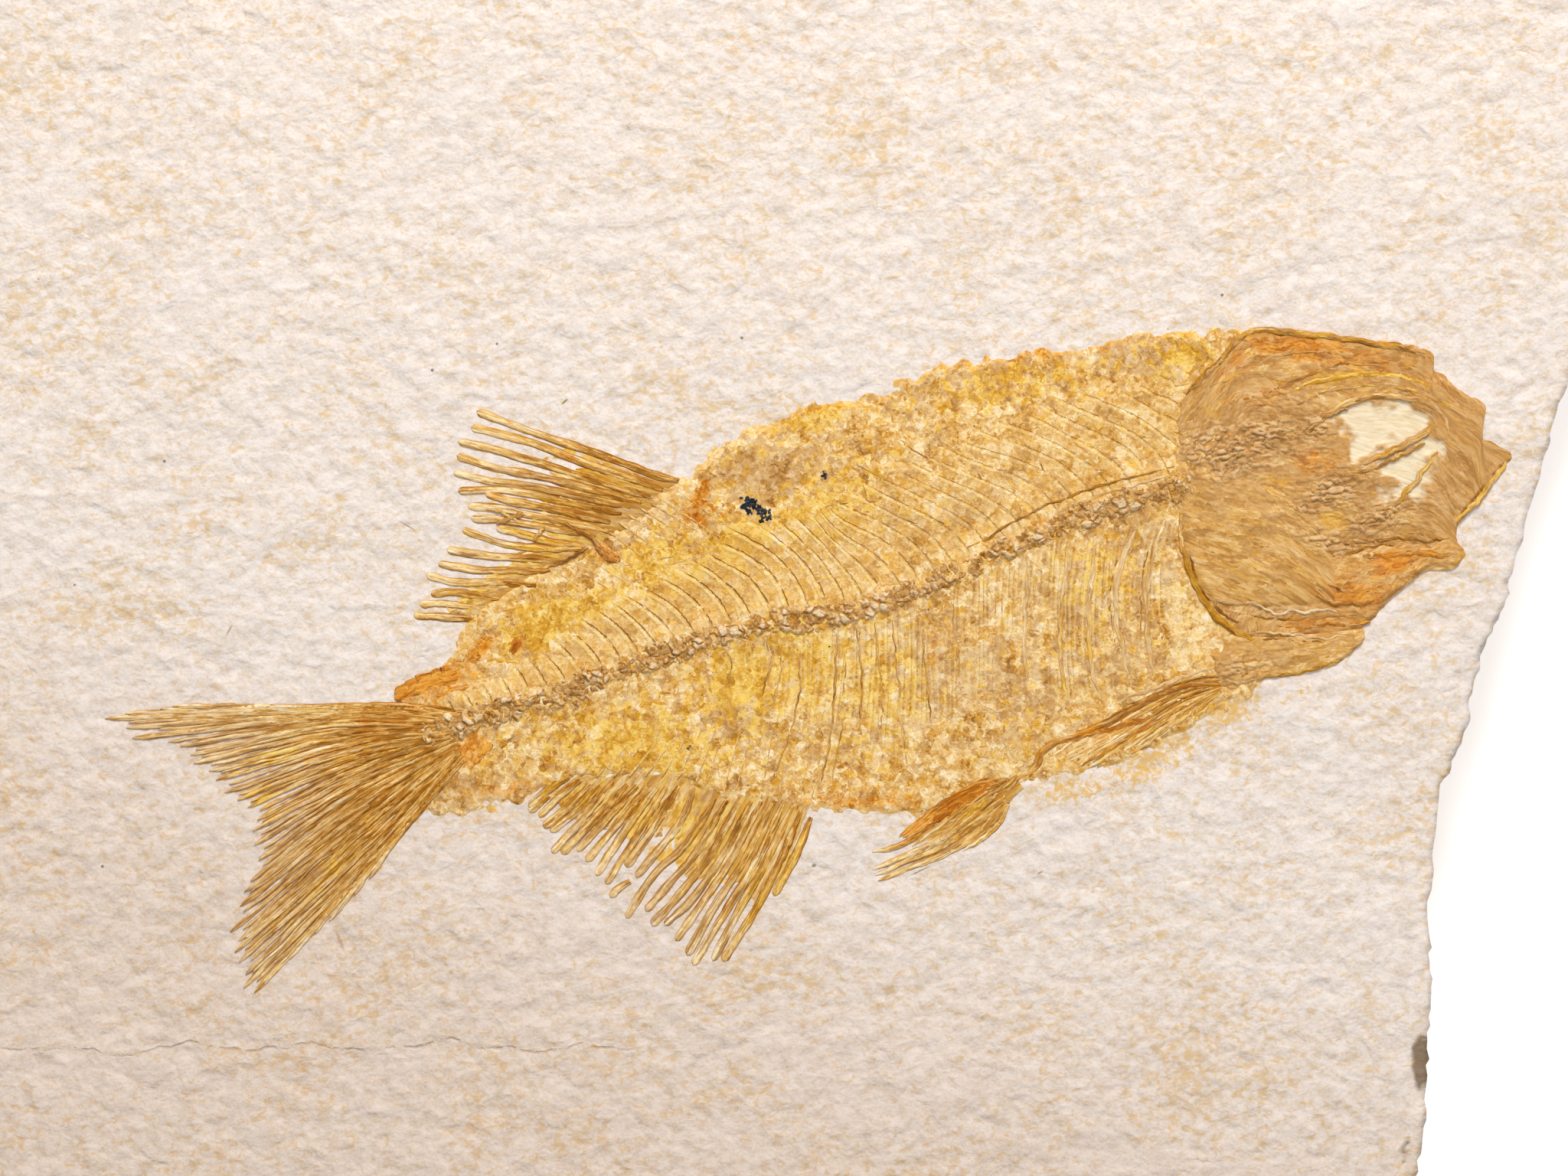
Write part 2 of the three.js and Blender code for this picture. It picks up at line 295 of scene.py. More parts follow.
# Lay of the stone and the fish.
def bedHeight(x, y):
    # the split face of the stone: broad swells under a fine unevenness
    return bedTop - 0.16 + 0.09 * roughness(x, y, 9, 11, 2) + 0.035 * roughness(x, y, 1.7, 15, 2)


spineStations = [
    (33.6, 6.2), (32.4, 6), (29.6, 5.3), (26.5, 4.2), (23.3, 3), (20.1, 1.5), (17, 0.1), (13, -1.5),
    (9.1, -2.8), (3.7, -3.5), (1.2, -4.1), (-1.8, -5), (-4.8, -6.2), (-7.9, -7.3), (-11.5, -8.7),
    (-14.8, -9.6), (-18.3, -10.7), (-20.4, -11.4),
]
spineLine = smoothLine(spineStations, 560)
spineUp = -lineNormals(spineLine)  # the line runs head to tail, so the back is on its right
spineRun = np.linspace(0, np.linalg.norm(np.diff(spineLine, axis=0), axis=1).sum(), len(spineLine))


def spineCoordinates(x, y):
    # distance run along the backbone at the nearest point of it, and height above it (below is negative)
    flat = np.stack([x.ravel(), y.ravel()], axis=1)
    nearest = np.concatenate([
        ((part[:, None] - spineLine[None]) ** 2).sum(-1).argmin(1) for part in np.array_split(flat, 40)
    ])
    lift = ((flat - spineLine[nearest]) * spineUp[nearest]).sum(1)
    return spineRun[nearest].reshape(x.shape), lift.reshape(x.shape)


def spinePoint(run):
    # point at this distance along the backbone, and the direction towards the back there
    x = np.interp(run, spineRun, spineLine[:, 0])
    y = np.interp(run, spineRun, spineLine[:, 1])
    k = np.clip(np.searchsorted(spineRun, run), 0, len(spineRun) - 1)
    return np.stack([x, y], axis=-1), spineUp[k]


trunk = {
    "back": [
        (38, 17.7), (34.7, 17.5), (29.8, 17), (23.7, 16.1), (19.5, 15.5), (15.8, 14.8), (13.2, 13.6),
        (11, 12.8), (7.2, 12), (2.8, 10.4), (-0.2, 8.5), (-2.2, 6.8), (-4.8, 4.8), (-8.6, 2.2),
        (-11.8, 0.8), (-15.3, -1.6), (-17.2, -3.4), (-17.9, -5.3), (-19.6, -6.8), (-23.1, -8.6),
    ],
    "belly": [
        (38.2, -8.9), (34.6, -10.5), (30.6, -12.7), (26.4, -14.2), (22.2, -14.9), (18.4, -16),
        (14.9, -17.2), (10.5, -17), (6.9, -16.9), (0.9, -15.7), (-1.3, -15.2), (-3.8, -14.5),
        (-10.1, -14.6), (-12.6, -15.8), (-17, -17), (-19.6, -17), (-21.4, -15.6),
    ],
    "rows": 400,
    "cols": 226,
    "lift": 0.13,
    "margin": 0.55,
    "length": 62,
    "spineStep": 0.09,
    "ribRipple": 0.01,
}


def trunkLift(x, y):
    # how far the film of skin stands above the stone away from its edge: uneven, swollen along the backbone
    gap = spineCoordinates(x, y)[1]
    swell = 0.15 * np.exp(-(gap / 1.5) ** 2)
    crumbs = 0.03 * roughness(x, y, 0.9, 31, 2) + 0.06 * roughness(x, y, 3.1, 37)
    return trunk["lift"] + swell + crumbs


def trunkTop(x, y):
    # the film's own surface
    return bedHeight(x, y) + trunkLift(x, y)


# Shader helpers.
def tone(red, green, blue):
    # a colour given from 0 to 255 for each light, turned to linear values
    def linear(c):
        c = c / 255
        return c / 12.92 if c <= 0.04045 else ((c + 0.055) / 1.055) ** 2.4
    return (linear(red), linear(green), linear(blue), 1)


class Nodes:
    # short calls for placing and wiring the nodes of one tree
    def __init__(self, tree):
        self.tree = tree

    def add(self, kind, inputs=None, **settings):
        node = self.tree.nodes.new(kind)
        for key, value in settings.items():
            setattr(node, key, value)
        for key, value in (inputs or {}).items():
            self.feed(node.inputs[key], value)
        return node

    def feed(self, socket, value):
        if isinstance(value, bpy.types.NodeSocket):
            self.tree.links.new(value, socket)
        else:
            socket.default_value = value

    def math(self, operation, a, b=0.0, c=0.0, clamp=False):
        node = self.add("ShaderNodeMath", {0: a, 1: b}, operation=operation, use_clamp=clamp)
        if operation == "MULTIPLY_ADD":
            self.feed(node.inputs[2], c)
        return node.outputs[0]

    def times(self, a, b, clamp=False):
        return self.math("MULTIPLY", a, b, clamp=clamp)

    def timesPlus(self, a, b, c, clamp=False):
        return self.math("MULTIPLY_ADD", a, b, c, clamp)

    def band(self, value, low, high, toLow=0.0, toHigh=1.0):
        # smooth step from toLow to toHigh as value goes from low to high
        node = self.add(
            "ShaderNodeMapRange",
            {"Value": value, "From Min": low, "From Max": high, "To Min": toLow, "To Max": toHigh},
            interpolation_type="SMOOTHSTEP",
        )
        return node.outputs["Result"]

    def mix(self, share, a, b, blend="MIX"):
        node = self.add("ShaderNodeMix", data_type="RGBA", blend_type=blend)
        self.feed(node.inputs["Factor"], share)
        self.feed(node.inputs[6], a)
        self.feed(node.inputs[7], b)
        return node.outputs[2]

    def noise(self, vector, scale, detail=3.0, rough=0.55, distort=0.0):
        return self.add(
            "ShaderNodeTexNoise",
            {"Vector": vector, "Scale": scale, "Detail": detail, "Roughness": rough, "Distortion": distort},
        ).outputs["Fac"]

    def cells(self, vector, scale, feature="F1"):
        return self.add("ShaderNodeTexVoronoi", {"Vector": vector, "Scale": scale}, feature=feature).outputs

    def value(self, name):
        return self.add("ShaderNodeAttribute", attribute_name=name).outputs["Fac"]

    def ramp(self, factor, stops):
        node = self.add("ShaderNodeValToRGB", {"Fac": factor})
        band = node.color_ramp
        while len(band.elements) < len(stops):
            band.elements.new(0.5)
        for element, (position, colour) in zip(band.elements, stops):
            element.position = position
            element.color = colour
        return node.outputs["Color"]

    def place(self, turn=0.0, stretch=(1, 1, 1), source=None):
        # object coordinates in millimetres, turned about +Z and stretched
        source = source or self.add("ShaderNodeTexCoord").outputs["Object"]
        node = self.add("ShaderNodeMapping", {"Vector": source})
        node.inputs["Rotation"].default_value = (0, 0, math.radians(turn))
        node.inputs["Scale"].default_value = tuple(1000 * s for s in stretch)
        return node.outputs["Vector"]

    def vector(self, x, y, z=0.0):
        return self.add("ShaderNodeCombineXYZ", {0: x, 1: y, 2: z}).outputs[0]


def newGroup(name, inputs, outputs):
    # a node group from {socket: default}, where None stands for a vector, and the names of what it gives out
    group = bpy.data.node_groups.new(name, "ShaderNodeTree")
    for socketName, default in inputs.items():
        kind = "NodeSocketVector" if default is None else "NodeSocketFloat"
        socket = group.interface.new_socket(socketName, in_out="INPUT", socket_type=kind)
        if default is not None:
            socket.default_value = default
    for socketName in outputs:
        kind = "NodeSocketColor" if socketName == "Color" else "NodeSocketFloat"
        group.interface.new_socket(socketName, in_out="OUTPUT", socket_type=kind)
    kit = Nodes(group)
    source = kit.add("NodeGroupInput").outputs
    sink = kit.add("NodeGroupOutput").inputs
    return group, kit, source, sink


def makeFossilColour():
    # mottled mineral colour: patches from brown by ochre to cream, with taupe, rust and yellow laid over
    group, kit, given, out = newGroup(
        "fossilColour",
        {"Vector": None, "Patch": 0.7, "Shade": 0.0, "Taupe": 0.0, "Rust": 0.0, "Yellow": 0.0, "Pale": 0.0},
        ["Color", "Tone"],
    )
    scale = kit.math("DIVIDE", 1.0, given["Patch"])
    broad = kit.noise(given["Vector"], kit.times(scale, 0.5), 4, 0.55)
    fine = kit.noise(given["Vector"], kit.times(scale, 1.6), 4, 0.55, 0.5)
    # flakes: cells with wandering borders, each of one random tone
    bends = kit.add(
        "ShaderNodeTexNoise", {"Vector": given["Vector"], "Scale": kit.times(scale, 1.1), "Detail": 3}
    ).outputs["Color"]
    shift = kit.add("ShaderNodeVectorMath", {0: bends, 1: (0.5, 0.5, 0.5)}, operation="SUBTRACT").outputs[0]
    reach = kit.times(given["Patch"], 2.6)
    shift = kit.add("ShaderNodeVectorMath", {0: shift, "Scale": reach}, operation="SCALE").outputs[0]
    bent = kit.add("ShaderNodeVectorMath", {0: given["Vector"], 1: shift}, operation="ADD").outputs[0]
    flakes = [
        kit.add("ShaderNodeSeparateColor", {0: kit.cells(bent, kit.times(scale, size))["Color"]}).outputs
        for size in (0.75, 2.1)
    ]
    mixed = kit.timesPlus(broad, 0.36, kit.times(fine, 0.36))
    mixed = kit.timesPlus(flakes[0][0], 0.2, mixed)
    mixed = kit.timesPlus(flakes[1][0], 0.2, mixed)
    mixed = kit.math("SUBTRACT", mixed, 0.055)
    level = kit.math("ADD", mixed, given["Shade"], clamp=True)
    colour = kit.ramp(level, [
        (0.20, tone(122, 70, 6)), (0.33, tone(178, 118, 38)), (0.42, tone(212, 156, 76)),
        (0.51, tone(228, 183, 112)), (0.60, tone(241, 207, 146)), (0.68, tone(251, 227, 180)),
        (0.80, tone(253, 238, 210)),
    ])
    other = kit.noise(given["Vector"], kit.times(scale, 0.55), 4, 0.62, 0.3)
    other = kit.timesPlus(flakes[0][1], 0.12, other)
    taupeShare = kit.band(kit.timesPlus(given["Taupe"], 0.42, other), 0.60, 0.70, 0.0, 0.8)
    taupe = kit.ramp(level, [
        (0.25, tone(140, 92, 36)), (0.5, tone(200, 152, 94)), (0.75, tone(230, 196, 148)),
    ])
    colour = kit.mix(taupeShare, colour, taupe)
    spots = kit.noise(given["Vector"], kit.times(scale, 0.8), 5, 0.6, 0.5)
    spots = kit.timesPlus(flakes[1][1], 0.1, spots)
    yellowShare = kit.band(kit.timesPlus(given["Yellow"], 0.34, spots), 0.585, 0.70, 0.0, 0.85)
    yellow = kit.ramp(level, [
        (0.3, tone(186, 126, 18)), (0.46, tone(219, 161, 42)), (0.62, tone(244, 204, 96)),
    ])
    colour = kit.mix(yellowShare, colour, yellow)
    rustShare = kit.band(kit.timesPlus(spots, 1.5, given["Rust"]), 1.0, 1.6, 0.0, 0.9)
    rust = kit.ramp(level, [(0.3, tone(166, 84, 0)), (0.46, tone(210, 124, 20)), (0.62, tone(236, 166, 60))])
    colour = kit.mix(rustShare, colour, rust)
    paleShare = kit.band(kit.timesPlus(fine, 0.3, given["Pale"]), 0.45, 0.85, 0.0, 0.92)
    pale = kit.ramp(fine, [(0.3, tone(232, 214, 176)), (0.55, tone(245, 232, 204))])
    colour = kit.mix(paleShare, colour, pale)
    kit.feed(out["Color"], colour)
    kit.feed(out["Tone"], level)
    return group


def makeCrumble():
    # height of a crumbly surface: rounded lumps, fine grit and sparse pits, in millimetres about zero
    group, kit, given, out = newGroup(
        "crumble", {"Vector": None, "Size": 0.4, "Depth": 0.05}, ["Height", "Hollow"]
    )
    scale = kit.math("DIVIDE", 1.0, given["Size"])
    lumps = kit.noise(given["Vector"], scale, 4, 0.6, 0.4)
    grit = kit.noise(given["Vector"], kit.times(scale, 3.7), 3, 0.6)
    cracks = kit.cells(given["Vector"], kit.times(scale, 0.9), "DISTANCE_TO_EDGE")["Distance"]
    crack = kit.band(cracks, 0.0, 0.12, 1.0, 0.0)
    height = kit.timesPlus(grit, 0.3, lumps)
    height = kit.timesPlus(crack, -0.12, height)
    kit.feed(out["Height"], kit.times(height, given["Depth"]))
    kit.feed(out["Hollow"], kit.band(height, 0.42, 0.6, 1.0, 0.0))
    return group


def makeStreaks():
    # fibres: noise drawn out along a bone, from the bone's own along and across measures
    group, kit, given, out = newGroup(
        "streaks", {"Along": 0.0, "Across": 0.0, "Offset": 0.0, "Fineness": 3.0}, ["Fibre", "Broad"]
    )
    wide = kit.times(given["Across"], given["Fineness"])
    base = kit.vector(kit.times(given["Along"], 0.35), wide, given["Offset"])
    kit.feed(out["Fibre"], kit.noise(base, 1.0, 5, 0.62, 0.25))
    slow = kit.vector(kit.times(given["Along"], 0.2), kit.times(wide, 0.3), given["Offset"])
    kit.feed(out["Broad"], kit.noise(slow, 1.0, 3, 0.55, 0.5))
    return group


def makeCreases():
    # fine repeated lines: one dark groove and one pale ridge beside it at every whole number of the phase
    group, kit, given, out = newGroup(
        "creases", {"Phase": 0.0, "Mask": 0.0, "Break": 0.5, "Thin": 0.08}, ["Groove", "Ridge"]
    )
    part = kit.math("FRACT", given["Phase"])
    fromLine = kit.math("PINGPONG", given["Phase"], 0.5)
    groove = kit.band(fromLine, 0.0, given["Thin"], 1.0, 0.0)
    peak = kit.math("ABSOLUTE", kit.math("SUBTRACT", part, kit.times(given["Thin"], 3.4)))
    ridge = kit.band(peak, 0.0, kit.times(given["Thin"], 3.0), 1.0, 0.0)
    whole = kit.band(given["Break"], 0.4, 0.55)
    shown = kit.times(given["Mask"], whole)
    kit.feed(out["Groove"], kit.times(groove, shown))
    kit.feed(out["Ridge"], kit.times(ridge, shown))
    return group


fossilColour = makeFossilColour()
crumble = makeCrumble()
streaks = makeStreaks()
creases = makeCreases()


def newMaterial(name, rough):
    material = bpy.data.materials.new(name)
    material.use_nodes = True
    tree = material.node_tree
    tree.nodes.clear()
    kit = Nodes(tree)
    output = kit.add("ShaderNodeOutputMaterial")
    shader = kit.add("ShaderNodeBsdfPrincipled")
    shader.inputs["Roughness"].default_value = rough
    shader.inputs["Specular IOR Level"].default_value = 0.14
    tree.links.new(shader.outputs[0], output.inputs[0])
    return material, kit, shader


def useGroup(kit, group, inputs):
    # one use of a node group; sockets that aren't named here keep their defaults
    node = kit.add("ShaderNodeGroup", node_tree=group)
    for key, value in inputs.items():
        kit.feed(node.inputs[key], value)
    return node.outputs


def dress(kit, shader, colour, height, rough=None):
    # wires a colour, a bump from heights in millimetres, and where given a roughness
    kit.feed(shader.inputs["Base Color"], colour)
    bump = kit.add("ShaderNodeBump", {"Height": height, "Strength": 1.0, "Distance": mm})
    kit.feed(shader.inputs["Normal"], bump.outputs["Normal"])
    if rough is not None:
        kit.feed(shader.inputs["Roughness"], rough)


# Stone.
slabMarks = [
    # (x, y, half length, half width, turn, colour) of small separate marks on the bed
    (-26.2, -25.8, 0.8, 0.16, -68, (192, 158, 134)), (-10.4, 12.1, 0.34, 0.1, 40, (104, 112, 62)),
    (7.1, -20.5, 0.22, 0.18, 0, (112, 100, 52)), (14.5, -20.9, 1.1, 0.05, 25, (132, 112, 92)),
    (-21.5, 3.4, 1, 0.05, -30, (140, 120, 100)), (-7.6, -17.9, 0.2, 0.14, 0, (128, 120, 110)),
    (23, -21, 0.3, 0.12, 30, (176, 140, 96)), (-34, -4, 0.5, 0.1, 60, (178, 146, 112)),
]


def limestoneMaterial():
    # felted cream stone with tan flecks, a halo of stain, one crack and duller sides, with painted shade at
    # the chips and towards the low, tail-side corner
    material, kit, shader = newMaterial("cream limestone", 0.93)
    felt = kit.place(turn=-28, stretch=(0.72, 1.0, 1.0))
    plain = kit.place()
    grain = kit.noise(felt, 1.5, 5, 0.6, 0.3)
    fine = kit.noise(plain, 5.0, 4, 0.6)
    swell = kit.noise(felt, 0.6, 3, 0.5)
    colour = kit.ramp(kit.timesPlus(fine, 0.4, kit.times(grain, 0.6)), [
        (0.30, tone(208, 189, 170)), (0.41, tone(224, 209, 196)), (0.52, tone(234, 222, 213)),
        (0.68, tone(242, 233, 227)),
    ])
    # tan staining: small soft flecks, thicker in some drifts than in others
    drift = kit.noise(plain, 0.13, 3, 0.6, 0.4)
    spots = kit.noise(felt, 1.8, 5, 0.68, 0.6)
    flecks = kit.timesPlus(drift, 0.4, kit.times(spots, 0.9))
    colour = kit.mix(kit.band(flecks, 0.63, 0.84, 0.0, 0.85), colour, tone(220, 188, 140))
    cool = kit.band(kit.noise(felt, 0.6, 4, 0.6, 0.5), 0.52, 0.74, 0.0, 0.3)
    colour = kit.mix(cool, colour, tone(216, 202, 190))
    clots = kit.noise(plain, 1.9, 5, 0.68, 0.6)
    soak = kit.timesPlus(clots, 3.4, kit.value("halo"))
    colour = kit.mix(kit.band(soak, 2.15, 2.9, 0.0, 0.9), colour, tone(222, 178, 96))
    # olive-brown at the chips in the broken edge: partly the stone's own colour and partly painted shade in
    # the chips' hollows
    chipColourAndShade = kit.band(kit.timesPlus(grain, 0.5, kit.value("chip")), 0.75, 1.0, 0.0, 0.85)
    colour = kit.mix(chipColourAndShade, colour, tone(118, 92, 58))
    white = kit.band(kit.timesPlus(spots, 0.7, kit.value("white")), 0.86, 0.98, 0.0, 1.0)
    colour = kit.mix(white, colour, tone(254, 252, 250))
    dots = kit.cells(plain, 0.16)["Distance"]
    colour = kit.mix(kit.band(dots, 0.012, 0.024, 0.75, 0.0), colour, tone(92, 74, 50))
    # one hair crack, low on the tail side, that wanders across the bedding
    spread = kit.add("ShaderNodeSeparateXYZ", {0: plain}).outputs
    wander = kit.noise(kit.vector(kit.times(spread[0], 0.13), 0.0, 0.0), 1.0, 4, 0.55)
    level = kit.timesPlus(wander, 4.0, -35.3)
    apart = kit.math("ABSOLUTE", kit.math("SUBTRACT", spread[1], level))
    crack = kit.times(kit.band(apart, 0.03, 0.16, 1.0, 0.0), kit.band(spread[0], -8.0, -3.0, 1.0, 0.0))
    crack = kit.times(crack, kit.band(grain, 0.42, 0.56))
    colour = kit.mix(kit.times(crack, 0.35), colour, tone(190, 160, 130))
    # sides: beds of stone, some browner, all duller than the split face
    beds = kit.noise(kit.vector(0, kit.times(grain, 0.5), kit.times(spread[2], 1.5)), 1.0, 4, 0.6)
    side = kit.mix(kit.band(beds, 0.38, 0.62), tone(196, 178, 158), tone(228, 214, 198))
    colour = kit.mix(kit.value("side"), colour, side, "MULTIPLY")
    # painted shade: the bed is a little browner and darker towards its low, tail-side corner, as the light
    # falls off there
    low = kit.band(kit.timesPlus(spread[0], 0.3, spread[1]), -42.0, -8.0, 1.0, 0.0)
    colour = kit.mix(low, colour, tone(245, 238, 231), "MULTIPLY")
    for x, y, length, width, turn, stain in slabMarks:
        near = kit.add("ShaderNodeMapping", {"Vector": plain}, vector_type="TEXTURE")
        near.inputs["Location"].default_value = (x, y, bedTop)
        near.inputs["Rotation"].default_value = (0, 0, math.radians(turn))
        near.inputs["Scale"].default_value = (length, width, bedTop)
        away = kit.add("ShaderNodeVectorMath", {0: near.outputs["Vector"]}, operation="LENGTH")
        away = kit.timesPlus(grain, 1.2, away.outputs["Value"])
        colour = kit.mix(kit.band(away, 1.0, 1.7, 0.8, 0.0), colour, tone(*stain))
    cotton = kit.noise(kit.place(turn=-28, stretch=(0.85, 1, 1)), 0.72, 3, 0.4, 0.3)
    height = kit.timesPlus(fine, 0.022, kit.times(grain, 0.035))
    height = kit.timesPlus(swell, 0.2, kit.timesPlus(cotton, 0.37, height))
    height = kit.timesPlus(crack, -0.06, height)
    dress(kit, shader, colour, height, kit.band(grain, 0.3, 0.7, 0.97, 0.86))
    return material


slab = {
    "around": 760,
    "topRings": 92,
    "edgeRows": 26,
    "bottomRings": 8,
    "rimBand": (8, 8.6),   # heights between which the CAD solid gives the outline
    "bedsIn": 0.55,        # how deep the beds of the broken edge are set in
    "scallopsIn": 0.45,
    "undercut": 1.2,
    "lip": 0.35,           # how far the top's own edge is nibbled back
    # patches of (x, y, length, width, turn, strength)
    "halo": [
        (31, -12.9, 5.4, 1.9, 32, 1.05), (25.4, -15.2, 4.6, 1.3, 10, 0.95), (14, -17, 5, 1.4, 0, 0.6),
        (36.6, -9.6, 3.4, 1.4, 38, 1.05), (41, -8.5, 3, 1, 18, 0.55), (20, 16.4, 9, 1, 8, 0.4),
        (-19, -7, 3.5, 1, 35, 0.35), (54, 4.6, 3.4, 0.9, 50, 0.45), (48, -3.6, 4, 0.9, 42, 0.5),
        (-15.5, -17.4, 4.5, 1, 0, 0.35), (2.5, 11.4, 5, 1, 25, 0.3),
    ],
    "chips": [(49.8, -34.3, 1, 3, 0, 1), (48.6, -40.6, 0.9, 2, -15, 0.7)],
    "white": [
        (9.4, 17.2, 0.9, 0.8, 0, 0.55), (14, 20.6, 2, 1, 20, 0.4), (16.2, 17.6, 1.4, 0.9, 0, 0.4),
        (-15, 22.5, 1.4, 1, 0, 0.36), (-29, 18.5, 1.2, 0.9, 0, 0.34), (0, 21, 1.8, 0.7, 10, 0.32),
    ],
}


def rimFromFrame(low, high, turn):
    # the radius of the slab's CAD solid between two heights, at each angle
    place = np.array([v.co[:] for v in nodes["matrix_slab"].data.vertices]) / mm
    place = place[(place[:, 2] > low) & (place[:, 2] < high)]
    radius = np.hypot(place[:, 0], place[:, 1])
    keep = radius > 20  # leaves out the points inside the rim
    angle = np.arctan2(place[keep, 1], place[keep, 0])
    order = np.argsort(angle)
    angle, radius = angle[order], radius[keep][order]
    return np.interp(turn, angle, radius, period=2 * math.pi)


def buildSlab():
    # rings of radius against angle from the middle of the top out to the rim, down the broken edge, and back
    # in underneath; the top's height is the bed's, and the edge is the rim less lip, beds and undercut
    turn = np.linspace(0, 2 * math.pi, slab["around"], endpoint=False)[None]
    rim = rimFromFrame(*slab["rimBand"], turn)
    run = rim * turn
    topShare = np.linspace(0, 1, slab["topRings"])[1:, None] ** 0.9
    split = np.linspace(0, 1, slab["edgeRows"])[1:, None]
    edgeHeight = bedTop * (1 - split)
    # broken edge: beds of stone of uneven thickness, each set in or out, with small scallops along it
    beds = roughness(edgeHeight + 0.25 * roughness(run, 0 * run, 9, 61), run * 0.02, 0.9, 62)
    scallop = roughness(run, edgeHeight * 2.2, 2.4, 63, 3)
    setIn = slab["bedsIn"] * (beds * 0.5 + 0.5) + slab["scallopsIn"] * (scallop * 0.5 + 0.5)
    setIn = setIn + slab["undercut"] * smoothRamp(split, 0.6, 1.0)
    lip = slab["lip"] * (roughness(run, 0 * run, 1.3, 64, 3) * 0.5 + 0.5)
    topRadius = (rim - lip) * topShare
    edgeRadius = rim - lip * (1 - smoothRamp(split, 0, 0.12)) - setIn * smoothRamp(split, 0, 0.1)
    bottomShare = np.linspace(1, 0, slab["bottomRings"])[1:-1, None]
    bottomRadius = edgeRadius[-1:] * bottomShare
    radius = np.vstack([topRadius, edgeRadius, bottomRadius])
    x, y = radius * np.cos(turn), radius * np.sin(turn)
    topHeight = bedHeight(x[:len(topShare)], y[:len(topShare)])
    crumbled = 0.08 + 0.2 * np.clip(roughness(run, 0 * run, 1.9, 65, 2), 0, 1)
    topHeight = topHeight - smoothRamp(topShare, 0.98, 1.0) * crumbled
    height = np.vstack([topHeight, topHeight[-1:] * (1 - split), np.zeros_like(bottomRadius)])
    points = np.stack([x, y, height], axis=-1).reshape(-1, 3)
    centre = np.array([[0, 0, float(bedHeight(np.zeros(1), np.zeros(1))[0])], [0, 0, 0]])
    points = np.vstack([points, centre])
    faces = sum((part.tolist() for part in ringFaces(*radius.shape)), [])
    px, py = points[:, 0], points[:, 1]
    ring = np.arange(len(points)) // slab["around"]
    values = {
        "side": ((ring >= len(topShare)) & (ring < len(topShare) + len(split))) * 1.0,
        "halo": patchField(px, py, slab["halo"]),
        "chip": patchField(px, py, slab["chips"]) * smoothRamp(points[:, 2], bedTop - 2.4, bedTop - 0.8),
        "white": patchField(px, py, slab["white"]),
    }
    putMesh("slabStone", points, faces, values, limestoneMaterial(), "matrix_slab")


buildSlab()


# Trunk film.
vertebra = 1.36  # spacing of the vertebrae along the backbone


def spineSweep(lift):
    # how far towards the tail a neural spine has swept at this height above the backbone: first with the
    # height's square, then straight
    return np.where(lift < 5.2, 0.1 * lift ** 2 - 0.05 * lift, 2.444 + 0.95 * (lift - 5.2))


def ribLean(x, drop):
    # how far a rib has bowed sideways at this drop below the backbone: tilt times drop, bow times its square
    stations = [-19, -10, -4, 2, 8, 14, 20, 26, 31]
    tilt = np.interp(x, stations, [-1.2, -0.7, -0.2, 0.12, 0.0, 0.03, -0.05, -0.3, -0.5])
    bow = np.interp(x, stations, [0, 0, -0.01, -0.02, -0.01, -0.003, 0.003, 0.02, 0.035])
    return tilt * drop + bow * drop ** 2


